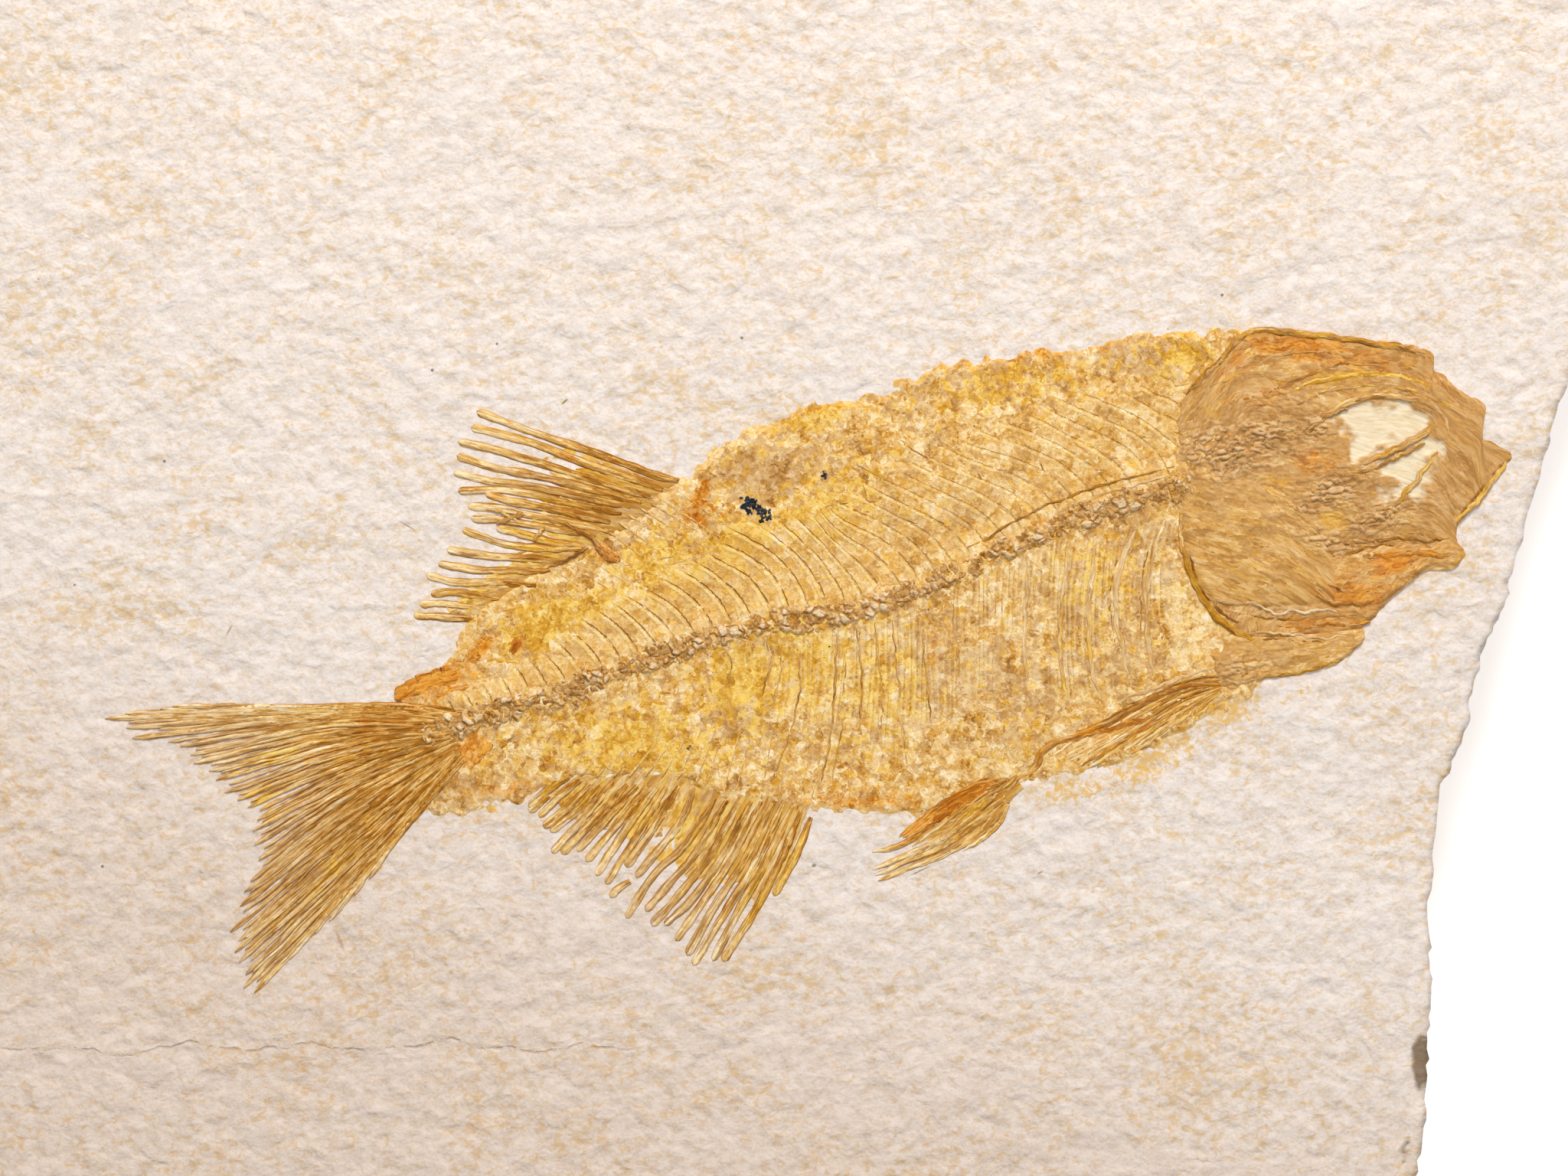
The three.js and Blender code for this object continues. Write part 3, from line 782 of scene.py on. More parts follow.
def skinMaterial():
    # mottled film with fine lines over the spines and ribs, pale ridges beside them and a pale border
    material, kit, shader = newMaterial("skin film", 0.82)
    place = kit.place()
    wander = kit.noise(place, 0.55, 3, 0.55)
    # long patches drawn out down the ribs
    spread = kit.add("ShaderNodeSeparateXYZ", {0: place}).outputs
    stripes = kit.vector(kit.times(kit.value("ribPhase"), 0.6), kit.times(spread[1], 0.2), 2.0)
    stripes = kit.math("SUBTRACT", kit.noise(stripes, 1.0, 3, 0.6), 0.5)
    stripes = kit.times(stripes, kit.value("ribMask"))
    coloured = useGroup(kit, fossilColour, {
        "Vector": place, "Patch": 0.6, "Shade": kit.timesPlus(stripes, 0.25, kit.value("shade")),
        "Taupe": kit.times(kit.value("taupe"), 0.75), "Rust": kit.math("ADD", kit.value("rust"), 0.1),
        "Yellow": kit.timesPlus(stripes, 1.2, kit.value("yellow")),
    })
    uneven = kit.noise(kit.place(stretch=(0.9, 0.1, 1)), 1.0, 3, 0.55)
    upper = useGroup(kit, creases, {
        "Phase": kit.timesPlus(wander, 0.16, kit.value("spinePhase")), "Mask": kit.value("spineMask"),
        "Break": kit.math("ADD", kit.noise(place, 0.9, 3, 0.6), 0.06), "Thin": 0.06,
    })
    lower = useGroup(kit, creases, {
        "Phase": kit.timesPlus(uneven, 2.6, kit.value("ribPhase")), "Mask": kit.value("ribMask"),
        "Break": kit.math("ADD", kit.noise(kit.place(stretch=(1.3, 0.3, 1)), 1.0, 3, 0.6), 0.05),
        "Thin": 0.12,
    })
    crumbs = useGroup(kit, crumble, {"Vector": place, "Size": 0.36, "Depth": 0.055})
    colour = kit.mix(kit.times(crumbs["Hollow"], 0.14), coloured["Color"], tone(150, 92, 20))
    colour = kit.mix(kit.times(kit.value("spineMask"), 0.32), colour, tone(238, 188, 106))
    colour = kit.mix(kit.times(upper["Ridge"], 0.4), colour, tone(252, 226, 158))
    colour = kit.mix(kit.times(upper["Groove"], 0.92), colour, tone(124, 76, 22))
    colour = kit.mix(kit.times(lower["Ridge"], 0.32), colour, tone(250, 224, 168))
    colour = kit.mix(kit.times(lower["Groove"], 0.36), colour, tone(198, 148, 90))
    rim = kit.timesPlus(wander, 0.8, kit.value("rim"))
    colour = kit.mix(kit.band(rim, 0.5, 1.1, 0.0, 0.6), colour, tone(240, 202, 128))
    colour = kit.mix(kit.band(rim, 0.95, 1.4, 0.0, 0.9), colour, tone(238, 222, 200))
    height = kit.timesPlus(coloured["Tone"], 0.05, crumbs["Height"])
    for crease, depth in ((upper, 0.06), (lower, 0.025)):
        height = kit.timesPlus(crease["Ridge"], depth * 0.8, height)
        height = kit.timesPlus(crease["Groove"], -depth, height)
    dress(kit, shader, colour, height, kit.band(coloured["Tone"], 0.3, 0.7, 0.78, 0.9))
    return material


trunkTints = {
    "taupe": [
        (3.6, 7.2, 3.6, 1.9, 15, 1), (-7, 1.6, 2, 0.9, 20, 0.6), (1.8, -9.6, 2.2, 1.6, 0, 0.8),
        (15, -6.5, 3.6, 4, 0, 0.55), (21, -8, 4, 4, 0, 0.55), (26, -2, 3.4, 5, 0, 0.5),
        (30, 15.2, 5, 1.7, 5, 0.8), (20, 14, 9, 2.2, 10, 0.45), (-17, -15.4, 3, 1.4, 0, 0.8),
        (29, -6, 3, 3, 0, 0.5), (9, -12, 3, 2, 0, 0.4), (17, 4, 3, 1.5, 30, 0.5), (30, 2, 2, 4, 0, 0.6),
    ],
    "rust": [
        (-1, 5.3, 0.7, 1.4, -18, 0.7), (-1.3, 3.9, 1.1, 0.5, -25, 0.7), (-7.3, 1.3, 0.75, 0.5, -25, 0.95),
        (-13.7, -5, 0.35, 0.6, -25, 0.9), (-19.2, -7.6, 3.2, 1.1, 28, 0.6),
        (-21.4, -8.6, 0.9, 0.45, 10, 0.7), (-16.2, -5.2, 1.6, 0.7, 40, 0.6), (10, 12.6, 4, 0.8, 16, 0.4),
        (22, 15.6, 6, 0.7, 6, 0.45), (-17.4, -12.4, 2.2, 1.1, 50, 0.6), (-14, -15.2, 3, 0.7, 0, 0.4),
        (10, -16, 6, 0.8, 0, 0.4), (-18.2, -17.1, 0.5, 0.3, 0, 0.6), (24, 3.9, 4.5, 0.25, 22, 0.55),
        (15.5, -5.2, 0.4, 1.6, 0, 0.35), (7.5, 12.2, 2, 0.4, 15, 0.3),
    ],
    "yellow": [
        (-12, -3.6, 3, 1.5, 25, 0.8), (8.5, 4.8, 3.4, 2, 20, 0.5), (20.5, 13.6, 5, 1.6, 10, 0.4),
        (6.5, -6, 3, 3.5, 0, 0.6), (-5, -12, 6, 2.4, 0, 0.6), (12, -8, 2.6, 4, 0, 0.5),
        (-4.5, 1, 3, 1.4, 25, 0.6), (2.5, -7.5, 3.4, 2.6, 0, 0.7), (27, -0.5, 2.4, 2.6, 0, 0.4),
        (33, 15.4, 2, 1.4, 0, 0.6), (7, 11, 3, 0.8, 20, 0.6), (1.5, 2, 4, 1.5, 25, 0.7),
        (-4, -0.8, 4, 1, 25, 0.4), (-8.5, -2.4, 3, 1.2, 25, 0.5),
    ],
}


def buildTrunk():
    # a thin film over the whole trunk: the bed's height and the film's lift, with a saw-tooth step of the
    # spines' phase and a ripple of the ribs' phase on it, fading out at a ragged border
    back = smoothLine(trunk["back"], trunk["rows"])
    belly = smoothLine(trunk["belly"], trunk["rows"])
    margin = trunk["margin"] * np.linspace(0, 1, trunk["rows"])[:, None] ** 0.4
    back = back - lineNormals(back) * margin
    belly = belly + lineNormals(belly) * margin
    share = np.linspace(0, 1, trunk["cols"])[:, None]
    grid = coonsGrid(back, belly, *(back[k] * (1 - share) + belly[k] * share for k in (0, -1)))
    x, y = grid[..., 0], grid[..., 1]
    width = np.linalg.norm(back - belly, axis=1)[:, None]
    v = np.linspace(0, 1, trunk["cols"])[None]
    fromRear = np.linspace(1, 0, trunk["rows"])[:, None] * trunk["length"]
    inset = np.minimum(np.minimum(v, 1 - v) * width, fromRear * 0.5)
    ragged = 0.42 * roughness(x, y, 0.8, 41, 4)
    fade = smoothRamp(inset + ragged, 0.2, 1.3)
    run, gap = spineCoordinates(x, y)
    phase = (run - spineSweep(np.maximum(gap, 0))) / vertebra
    spineX, spineY = spineLine[::-1, 0], spineLine[::-1, 1]
    drop = np.clip(np.interp(x, spineX, spineY) - y, 0, 16)
    ribPhase = np.interp(x - ribLean(x, drop), spineX, spineRun[::-1]) / vertebra
    reach = np.interp(run, [0, 8, 30, 45, 52], [8.0, 9.0, 7.5, 4.5, 2.5]) + 0.8 * roughness(x, y, 2.0, 43)
    spineMask = smoothRamp(gap, 0.5, 1.2) * (1 - smoothRamp(gap, reach - 1.5, reach))
    spineMask = spineMask * np.interp(run, [18, 30], [0.55, 1])
    ribReach = np.interp(run, [0, 20, 30, 40, 50], [14, 13, 9.0, 6.0, 3.0]) + 1.5 * roughness(x, y, 2.5, 44)
    ribMask = smoothRamp(-gap, 0.5, 1.6) * (1 - smoothRamp(-gap, ribReach - 3, ribReach))
    ribMask = ribMask * smoothRamp(roughness(x, y * 0.5, 2.6, 45, 2), -0.9, 0.05)
    ribMask = ribMask * np.interp(x, [0, 9], [0.08, 1])
    step = trunk["spineStep"] * spineMask * (1 - phase % 1)
    step = step + trunk["ribRipple"] * ribMask * np.cos(2 * math.pi * ribPhase)
    top = bedHeight(x, y) + (trunkLift(x, y) + step) * fade - 0.1 * (1 - fade)
    fields = {
        "spinePhase": phase, "ribPhase": ribPhase * 2.8, "spineMask": spineMask, "ribMask": ribMask,
        "rim": 1 - smoothRamp(inset + ragged, 0.1, 1.3), "shade": 0.02 + 0.02 * ribMask,
        **patchFields(x, y, trunkTints),
    }
    platePiece("trunkFilm", grid, top, bedTop - 0.9, fields, skinMaterial(), "flank_skin")


buildTrunk()


# Backbone.
def boneMaterial(name, shade, dark, light):
    # thin bones: a painted highlight along the crest, painted shade along the foot on one side, mottled
    # between
    material, kit, shader = newMaterial(name, 0.78)
    place = kit.place()
    coloured = useGroup(kit, fossilColour, {
        "Vector": place, "Patch": 0.35, "Shade": shade, "Taupe": 0.55, "Yellow": 0.15, "Pale": 0.1,
    })
    across = kit.value("across")
    # painted highlight along the crest
    crest = kit.band(across, -0.15, 0.75, 0.0, 0.3)
    crest = kit.times(crest, kit.band(kit.noise(place, 1.1, 3, 0.6), 0.4, 0.6))
    colour = kit.mix(crest, coloured["Color"], light)
    # painted shade along the foot on one side
    foot = kit.band(across, -0.9, -0.1, 0.7, 0.0)
    colour = kit.mix(foot, colour, dark)
    rough = kit.band(coloured["Tone"], 0.3, 0.7, 0.68, 0.86)
    dress(kit, shader, colour, kit.times(coloured["Tone"], 0.05), rough)
    return material


def strandMaterial():
    # bones tinted one by one
    material, kit, shader = newMaterial("single bone", 0.7)
    flow = kit.vector(
        kit.times(kit.value("along"), 0.5), kit.times(kit.value("acrossMm"), 3.0),
        kit.times(kit.value("pick"), 60),
    )
    coloured = useGroup(kit, fossilColour, {
        "Vector": flow, "Patch": 0.7, "Shade": kit.value("shade"), "Taupe": 0.45, "Rust": kit.value("rust"),
        "Yellow": kit.value("yellow"), "Pale": kit.value("pale"),
    })
    edge = kit.band(kit.math("ABSOLUTE", kit.value("across")), 0.55, 0.98, 0.0, 0.4)
    colour = kit.mix(edge, coloured["Color"], tone(146, 92, 26))
    dress(kit, shader, colour, kit.times(coloured["Tone"], 0.08))
    return material


def columnMaterial():
    # crumbs with painted light and shade: pale where they stand high, dark in the gaps between and in the
    # hollows
    material, kit, shader = newMaterial("crumbled vertebrae", 0.85)
    place = kit.place()
    crumbs = useGroup(kit, crumble, {"Vector": place, "Size": 0.22, "Depth": 0.09})
    coloured = useGroup(kit, fossilColour, {
        "Vector": place, "Patch": 0.4, "Shade": -0.05, "Taupe": 0.35, "Yellow": -0.1,
    })
    relief = kit.value("relief")
    # painted highlight on the crumbs that stand high, then painted shade where they lie low
    colour = kit.mix(kit.band(relief, 0.72, 1.25, 0.0, 0.75), coloured["Color"], tone(250, 228, 190))
    colour = kit.mix(kit.band(relief, -0.2, 0.24, 0.66, 0.0), colour, tone(140, 92, 34))
    # painted shade in the crumbs' hollows
    colour = kit.mix(kit.times(crumbs["Hollow"], 0.25), colour, tone(140, 92, 36))
    colour = kit.mix(kit.band(kit.value("edge"), 0.15, 0.95, 0.85, 0.0), colour, tone(224, 178, 108))
    dress(kit, shader, colour, crumbs["Height"])
    return material


column = {"rows": 1000, "cols": 50, "width": 2.1, "lift": 0.3, "sunk": 0.12}


def buildColumn():
    # a ribbon of uneven width along the backbone: on the film's surface a crown (1 - |a|^2.6)^(1/2) across
    # it and two sizes of broken blocks
    line = smoothLine(spineStations, column["rows"])
    up = lineNormals(line)
    run = np.linspace(0, spineRun[-1], column["rows"])[:, None]
    a = np.linspace(-1, 1, column["cols"])[None]
    width = column["width"] * np.interp(run, [0, 4, 16, 30, 44, 56], [1.25, 1.05, 0.85, 1.0, 1.05, 1.15])
    width = width * (1 + 0.24 * roughness(run, run * 0, 1.3, 51, 2))
    grid = line[:, None] + up[:, None] * (width * a / 2)[..., None]
    x, y = grid[..., 0], grid[..., 1]
    wavy = 0.12 * roughness(x, y, 0.7, 55, 2)
    block, pick = blocks(x + 2.4 * wavy, y - 2.0 * wavy, 0.62, 52)
    small, smallPick = blocks(x - wavy, y + wavy, 0.36, 56)
    lumps = block * (0.2 + 0.8 * pick) + 0.3 * small * smallPick + 0.5 * roughness(x, y, 0.8, 57, 3)
    crown = np.sqrt(np.clip(1 - np.abs(a) ** 2.6, 0, 1))
    edge = 1 - smoothRamp(np.abs(a) + 0.36 * roughness(x, y, 0.6, 54, 3), 0.62, 1.05)
    lift = (column["lift"] * (0.4 * crown + 0.7 * lumps)) * edge - 0.02 * (1 - edge)
    top = trunkTop(x, y) + lift - column["sunk"]
    fields = {"relief": lumps, "edge": edge}
    platePiece(
        "vertebralColumn", grid, top, bedTop - 0.7, fields, columnMaterial(), "backbone"
    )


spineBones = {"steps": 34, "width": 0.17, "lift": 0.045, "count": 40, "first": 1.6, "foot": 0.62, "seed": 5}
ribShape = {"steps": 46, "lift": 0.045, "seed": 6}
ribBones = [
    # (name, first and last place along the backbone, bones per vertebra, width, painted shade of one side)
    ("ribs", 2.2, 24.5, 2, 0.16, (196, 146, 88)),
    ("haemalSpines", 24.8, 52.0, 1, 0.24, (118, 74, 26)),
]


def buildSpines():
    # neural spines: straight up from the backbone by the share t of their length, swept back by spineSweep
    k = np.arange(spineBones["count"])[:, None]
    start = spineBones["first"] + k * vertebra
    wobble = np.random.default_rng(spineBones["seed"]).random((len(k), 2))
    t = np.linspace(0, 1, spineBones["steps"])[None]
    length = np.interp(start, [0, 8, 20, 32, 45, 52], [4.5, 6.5, 6.8, 6.2, 3.6, 1.8])
    length = length * (0.85 + 0.25 * wobble[:, :1])
    lift = spineBones["foot"] + t * length
    phase = np.round(start / vertebra) * vertebra
    place, up = spinePoint(np.clip(phase + spineSweep(lift), 0, spineRun[-1]))
    paths = place + up * lift[..., None]
    size = spineBones["width"] * roundedEnds(spineBones["steps"], 0.12)[None]
    widths = size * (1.15 - 0.55 * t) + 0 * lift
    lifts = spineBones["lift"] * (1 - smoothRamp(t, 0.6, 1.0)) + 0.02 + 0 * lift
    # the two tones are the painted shade along one side and the painted highlight along the crest
    bone = boneMaterial("spine bone", 0.05, tone(136, 86, 30), tone(248, 220, 158))
    strandPiece("neuralSpines", paths, widths, lifts, trunkTop, bone, "backbone")


def buildRibs():
    # ribs in the chest, shorter haemal spines towards the tail: down from the backbone, bowed by ribLean
    for name, first, last, perVertebra, size, foot in ribBones:
        count = int((last - first) / vertebra * perVertebra)
        k = np.arange(count)[:, None]
        wobble = np.random.default_rng(ribShape["seed"]).random((count, 3))
        start = first + k * vertebra / perVertebra + 0.14 * wobble[:, :1]
        t = np.linspace(0, 1, ribShape["steps"])[None]
        length = np.interp(start, [0, 6, 20, 27, 33, 40, 46, 52], [10, 12, 12.5, 9, 6.6, 5, 3.6, 1.8])
        length = length * (0.72 + 0.28 * wobble[:, 1:2])
        gap = 0.9 + np.where(start < 27, 2.5, 0.3) * wobble[:, 2:3] ** 2
        drop = gap + t * (length - gap)
        startX = np.interp(start, spineRun, spineLine[:, 0])
        startY = np.interp(start, spineRun, spineLine[:, 1])
        paths = np.stack([startX + ribLean(startX, drop), startY - drop], axis=-1)
        widths = size * roundedEnds(ribShape["steps"], 0.1)[None] * (1.1 - 0.5 * t) + 0 * drop
        lifts = ribShape["lift"] * (1 - 0.7 * t) + 0 * drop
        # the two tones are the painted shade along one side and the painted highlight along the crest
        bone = boneMaterial(name + " bone", 0.06, tone(*foot), tone(252, 228, 178))
        strandPiece(name, paths, widths, lifts, trunkTop, bone, "backbone")


trunkMarks = [
    # single bones that stand out on the trunk: (points, width, lift, shade, rust, yellow, pale)
    ([(33, 7.7), (29.6, 6.8), (26.5, 5.9), (23.3, 4.7), (20.1, 3), (17, 1.3)], 0.22, 0.12, -0.19, 0, 0.2),
    ([(32.6, 7), (29.4, 6.2), (26.6, 5.3), (23.6, 4.2)], 0.24, 0.1, 0.08, 0, 0, 0.3),
    ([(8.7, -3.6), (8.6, -7.5), (8.2, -11.6), (7.4, -15.7)], 0.22, 0.07, -0.1),
    ([(9.4, -3.6), (9.3, -7.5), (8.9, -11.6), (8.2, -15.7)], 0.15, 0.06, -0.06, 0, 0.2),
    ([(3.7, -4.4), (4, -6.4), (3.3, -8.8)], 0.2, 0.07, -0.1),
    ([(4.6, -4.6), (4.8, -6.8), (4.1, -9.6)], 0.15, 0.06, -0.08, 0.1),
    ([(1, -5.2), (1.3, -6.8), (0.7, -8.4)], 0.17, 0.06, -0.1),
    ([(6.2, -4.8), (6, -8.6), (5.2, -11.8), (3.8, -15.2)], 0.18, 0.06, -0.08),
    ([(10, -3.6), (10.5, -7.4), (10.2, -11.4)], 0.2, 0.07, -0.1),
    ([(11.3, -3), (11.8, -7.4), (11.9, -12.4)], 0.16, 0.06, -0.08, 0, 0.2),
    ([(12.6, -2.7), (13, -7), (13.3, -11), (13.9, -14.8)], 0.18, 0.06, -0.08),
    ([(14.4, -2), (14.9, -6.4), (15.4, -11)], 0.16, 0.06, -0.07),
    ([(16.6, -1.2), (17.2, -5.6), (17.4, -8.4)], 0.18, 0.06, -0.08),
    ([(31.9, 4.2), (30.9, 1.5), (30.5, -1.5), (30.5, -4.5), (31, -7.5)], 0.4, 0.1, 0.07, 0, 0, 0.22),
    ([(31.2, 3.6), (30.4, 1), (30.1, -1.8), (30.1, -5)], 0.15, 0.05, -0.12),
    ([(29.9, 3.4), (28.6, 0.6), (28.3, -2.4), (28.8, -5.4), (29.3, -7.4)], 0.42, 0.1, 0.07, 0, 0, 0.22),
    ([(29.4, 2.9), (28.2, 0.3), (27.9, -2.8), (28.4, -5.6)], 0.15, 0.05, -0.12),
    ([(27, 2.6), (26.6, -0.4), (26.4, -3.4), (26.6, -6.4), (27.2, -9)], 0.36, 0.1, 0.08, 0, 0.1, 0.22),
    ([(25, 1.9), (24.6, -1), (24.4, -4), (24.6, -7), (24.9, -9.4)], 0.32, 0.1, 0.07, 0, 0.2, 0.22),
    ([(22.2, 0.6), (22, -2), (21.9, -5), (22, -8)], 0.3, 0.1, 0.09, 0, 0, 0.32),
    ([(18.7, -7), (19.5, -6.9), (20.3, -7.1)], 0.42, 0.06, 0.06, 0, 0, 0.3),
    ([(18.5, -8.3), (19.3, -8.2), (20, -8.3)], 0.4, 0.06, 0.06, 0, 0, 0.3),
    ([(18.8, -9.7), (19.5, -9.6), (20.4, -9.5)], 0.42, 0.06, 0.06, 0, 0, 0.3),
    ([(28, -9.2), (31, -8), (33.5, -7.1), (35.6, -6.5)], 0.3, 0.08, 0.04, 0, 0, 0.35),
    ([(28.4, -9.5), (31.2, -8.4), (33.7, -7.5), (35.8, -6.9)], 0.18, 0.08, -0.2),
    ([(5.4, 3.8), (9, 4.9), (12.5, 4.9), (16.1, 3.5), (18.2, 2.1)], 0.17, 0.06, -0.14, 0.2),
    ([(7.2, 3.5), (10.1, 4.4), (13.6, 3.8), (16.8, 2.4)], 0.15, 0.06, -0.14, 0.3),
    ([(15.4, 9.9), (18.2, 7.4), (20.3, 4.9)], 0.15, 0.06, -0.14, 0.1),
    ([(19.6, 10.9), (22.5, 8.5), (23.9, 6)], 0.15, 0.06, -0.14, 0.1),
    ([(23.2, 11.3), (26, 8.8), (28.9, 8.1), (31.7, 8.3)], 0.2, 0.07, 0.06, 0, 0, 0.3),
    ([(27.4, 12.7), (29.2, 9.9), (32.4, 9.5)], 0.16, 0.06, -0.12),
    ([(9.6, 7.9), (12.4, 6.4), (14.2, 4.2)], 0.15, 0.06, -0.12, 0.1),
    ([(12.8, 9.6), (15.6, 7.6), (17.4, 5.4)], 0.15, 0.06, -0.12, 0.1),
]

rustMarks = [
    # crisp-edged rusty scales on the trunk's film, in the same order
    ([(-0.1, 7.2), (-0.8, 5.5), (-1.4, 3.7)], 0.8, 0.05, -0.04, 1.2),
    ([(-0.8, 5.2), (0.3, 4.4), (1, 3.9)], 0.3, 0.05, 0, 0.9),
    ([(-14.2, -5.6), (-13.6, -4.5)], 0.8, 0.06, -0.1, 1.3),
    ([(-22.3, -8.8), (-20.8, -7.8), (-18.8, -7.3), (-17, -6.6)], 1.3, 0.05, -0.02, 1, 0.2),
    ([(-20, -9), (-18.2, -8.2), (-16.6, -7.8)], 0.5, 0.05, 0, 0.7, 0.6),
    ([(-17.4, -13.9), (-16.4, -12.7), (-15.2, -11.5)], 1.1, 0.05, 0.04, 0.9, 0.2),
    ([(-12, -13.6), (-11.2, -12.6)], 0.6, 0.05, 0, 0.7, 0.4),
    ([(-5.4, -9.4), (-4.2, -9), (-3.1, -9.2)], 0.5, 0.05, 0, 0.5, 0.8),
    ([(-16.2, -6.2), (-14.6, -6.1), (-12.4, -6.6)], 0.34, 0.06, -0.02, 0.4, 0.9),
]

finSupports = {
    # (foot, tip) of the thin rods that carry the fins, inside the trunk
    "dorsal": [
        ((-2.6, 5.9), (1.4, 3.1)), ((-3.6, 5.2), (0.6, 2.5)), ((-4.3, 4.9), (-0.9, 2.9)),
        ((-5.1, 4.6), (-2, 2.6)), ((-5.9, 4.1), (-2.9, 2.2)), ((-6.6, 3.6), (-3.8, 1.6)),
        ((-7.3, 2.9), (-4.8, 1.1)), ((-8.2, 2.4), (-5.7, 0.6)), ((-9, 1.2), (-6.3, -0.5)),
        ((-10, 0.5), (-7.4, -1)), ((-10.8, 0), (-8.6, -1.4)), ((-11.6, -0.4), (-9.6, -1.9)),
    ],
    "anal": [
        ((-9.3, -14.2), (-7.4, -12.2)), ((-8.2, -14.3), (-5.9, -12)), ((-7, -14.3), (-4.6, -11.6)),
        ((-5.9, -14.3), (-3.6, -11.4)), ((-4.8, -14.3), (-2.4, -11.2)), ((-3.6, -14.3), (-1.5, -11)),
        ((-2.5, -14.5), (-0.7, -10.8)), ((-1.2, -14.7), (0.4, -10.4)), ((-0.5, -14.9), (0.9, -10.6)),
        ((0.8, -15.1), (2.1, -10.4)), ((1.6, -15.3), (2.8, -10.9)), ((3.4, -15.8), (4.2, -11)),
        ((4.6, -15.9), (5.3, -11.2)), ((6.1, -16), (6.8, -11.6)), ((6.9, -16), (7.7, -12)),
    ],
    "steps": 26,
    "width": 0.18,
    "lift": 0.05,
}
fleshBones = {"count": 70, "steps": 20, "seed": 8, "width": 0.15, "lift": 0.05}


def buildThinBones():
    # fin supports run straight between their two ends; flesh bones are short slivers lying over the spines
    ends = np.array(finSupports["dorsal"] + finSupports["anal"])
    t = np.linspace(0, 1, finSupports["steps"])[None]
    paths = ends[:, :1] * (1 - t[..., None]) + ends[:, 1:] * t[..., None]
    size = finSupports["width"] * roundedEnds(finSupports["steps"], 0.15)[None]
    widths = size * (1.1 - 0.5 * t) + 0 * paths[..., 0]
    lifts = finSupports["lift"] + 0 * widths
    # the two tones are the painted shade along one side and the painted highlight along the crest
    bone = boneMaterial("thin bone", 0.04, tone(150, 98, 34), tone(250, 226, 168))
    strandPiece("finSupports", paths, widths, lifts, trunkTop, bone, "backbone")
    draw = np.random.default_rng(fleshBones["seed"]).random((fleshBones["count"], 6))
    start = 2 + draw[:, :1] * 30
    base = 2.0 + draw[:, 1:2] * 4.5
    t = np.linspace(0, 1, fleshBones["steps"])[None]
    length = 2.0 + 2.6 * draw[:, 2:3]
    place, up = spinePoint(np.clip(start + spineSweep(base) + t * length, 0, spineRun[-1]))
    rise = base + t * length * (0.12 + 0.3 * draw[:, 3:4]) + 0.3 * np.sin(math.pi * t) * (draw[:, 4:5] - 0.3)
    paths = place + up * rise[..., None]
    widths = fleshBones["width"] * roundedEnds(fleshBones["steps"], 0.3)[None] + 0 * rise
    lifts = fleshBones["lift"] + 0 * widths
    strandPiece("fleshBones", paths, widths, lifts, trunkTop, bone, "backbone")


def shivered(paths, amount, seed, octaves=2, stride=1 / 9, gap=5.1):
    # paths moved sideways by a random amount that drifts along them, each path with its own drift
    t = np.arange(paths.shape[1])[None] * stride
    k = np.arange(len(paths))[:, None] * gap
    shift = amount * roughness(t + 0 * k, k + 0 * t, 1.0, seed, octaves)
    return paths + lineNormals(paths) * shift[..., None]


def handSetStrands(name, rows, ground, node, rise=0.0):
    # bones that stand out, each on its own curve with a slightly uneven width and its own tint; a row is
    # (points, width, lift, shade, rust, yellow, pale), and what is left out at its end is nought
    steps, gap = 90, 9.3
    tintNames = ("shade", "rust", "yellow", "pale")
    rows = [row + (0,) * (3 + len(tintNames) - len(row)) for row in rows]
    paths = np.array([smoothLine(row[0], steps) for row in rows])
    paths = shivered(paths, 0.09, 81, 3, 0.16, gap)
    size, crest = (np.array([[row[k]] for row in rows]) for k in (1, 2))
    t = np.arange(steps)[None] * 0.12
    k = np.arange(len(rows))[:, None] * gap
    widths = size * roundedEnds(steps, 0.25)[None] * (1 + 0.25 * roughness(t + 0 * k, k + 0 * t, 1.0, 82, 2))
    lifts = crest * roundedEnds(steps, 0.3)[None] + 0 * widths
    tints = {key: [row[3 + i] for row in rows] for i, key in enumerate(tintNames)}
    strandPiece(name, paths, widths, lifts, ground, strandBone, node, tints, rise=rise)


strandBone = strandMaterial()
handSetStrands("trunkMarks", trunkMarks, trunkTop, "backbone")
handSetStrands("rustMarks", rustMarks, trunkTop, "flank_skin")
buildColumn()
buildSpines()
buildRibs()
buildThinBones()


# Head.
def headLift(x, y):
    # the head stands a little prouder than the trunk: a bell-shaped dome over the cheek on an even film
    dome = np.exp(-((x - 42) / 9.5) ** 2 - ((y - 4.5) / 9.0) ** 2)
    return 0.17 + 0.2 * dome + 0.05 * roughness(x, y, 2.4, 71, 2)


def insideOutline(x, y, outline):
    # distance to a closed curve, negative outside it; a point is inside where a ray from it crosses the
    # curve an odd number of times
    loop = smoothLine(outline, 120, closed=True)
    nx, ny = np.roll(loop[:, 0], -1), np.roll(loop[:, 1], -1)
    px, py = x.ravel()[:, None], y.ravel()[:, None]
    crosses = ((loop[:, 1] > py) != (ny > py)) & (
        px < (nx - loop[:, 0]) * (py - loop[:, 1]) / (ny - loop[:, 1] + tiny) + loop[:, 0]
    )
    inside = crosses.sum(1) % 2 == 1
    gap = np.sqrt(((px - loop[:, 0]) ** 2 + (py - loop[:, 1]) ** 2).min(1))
    return np.where(inside, gap, -gap).reshape(x.shape)


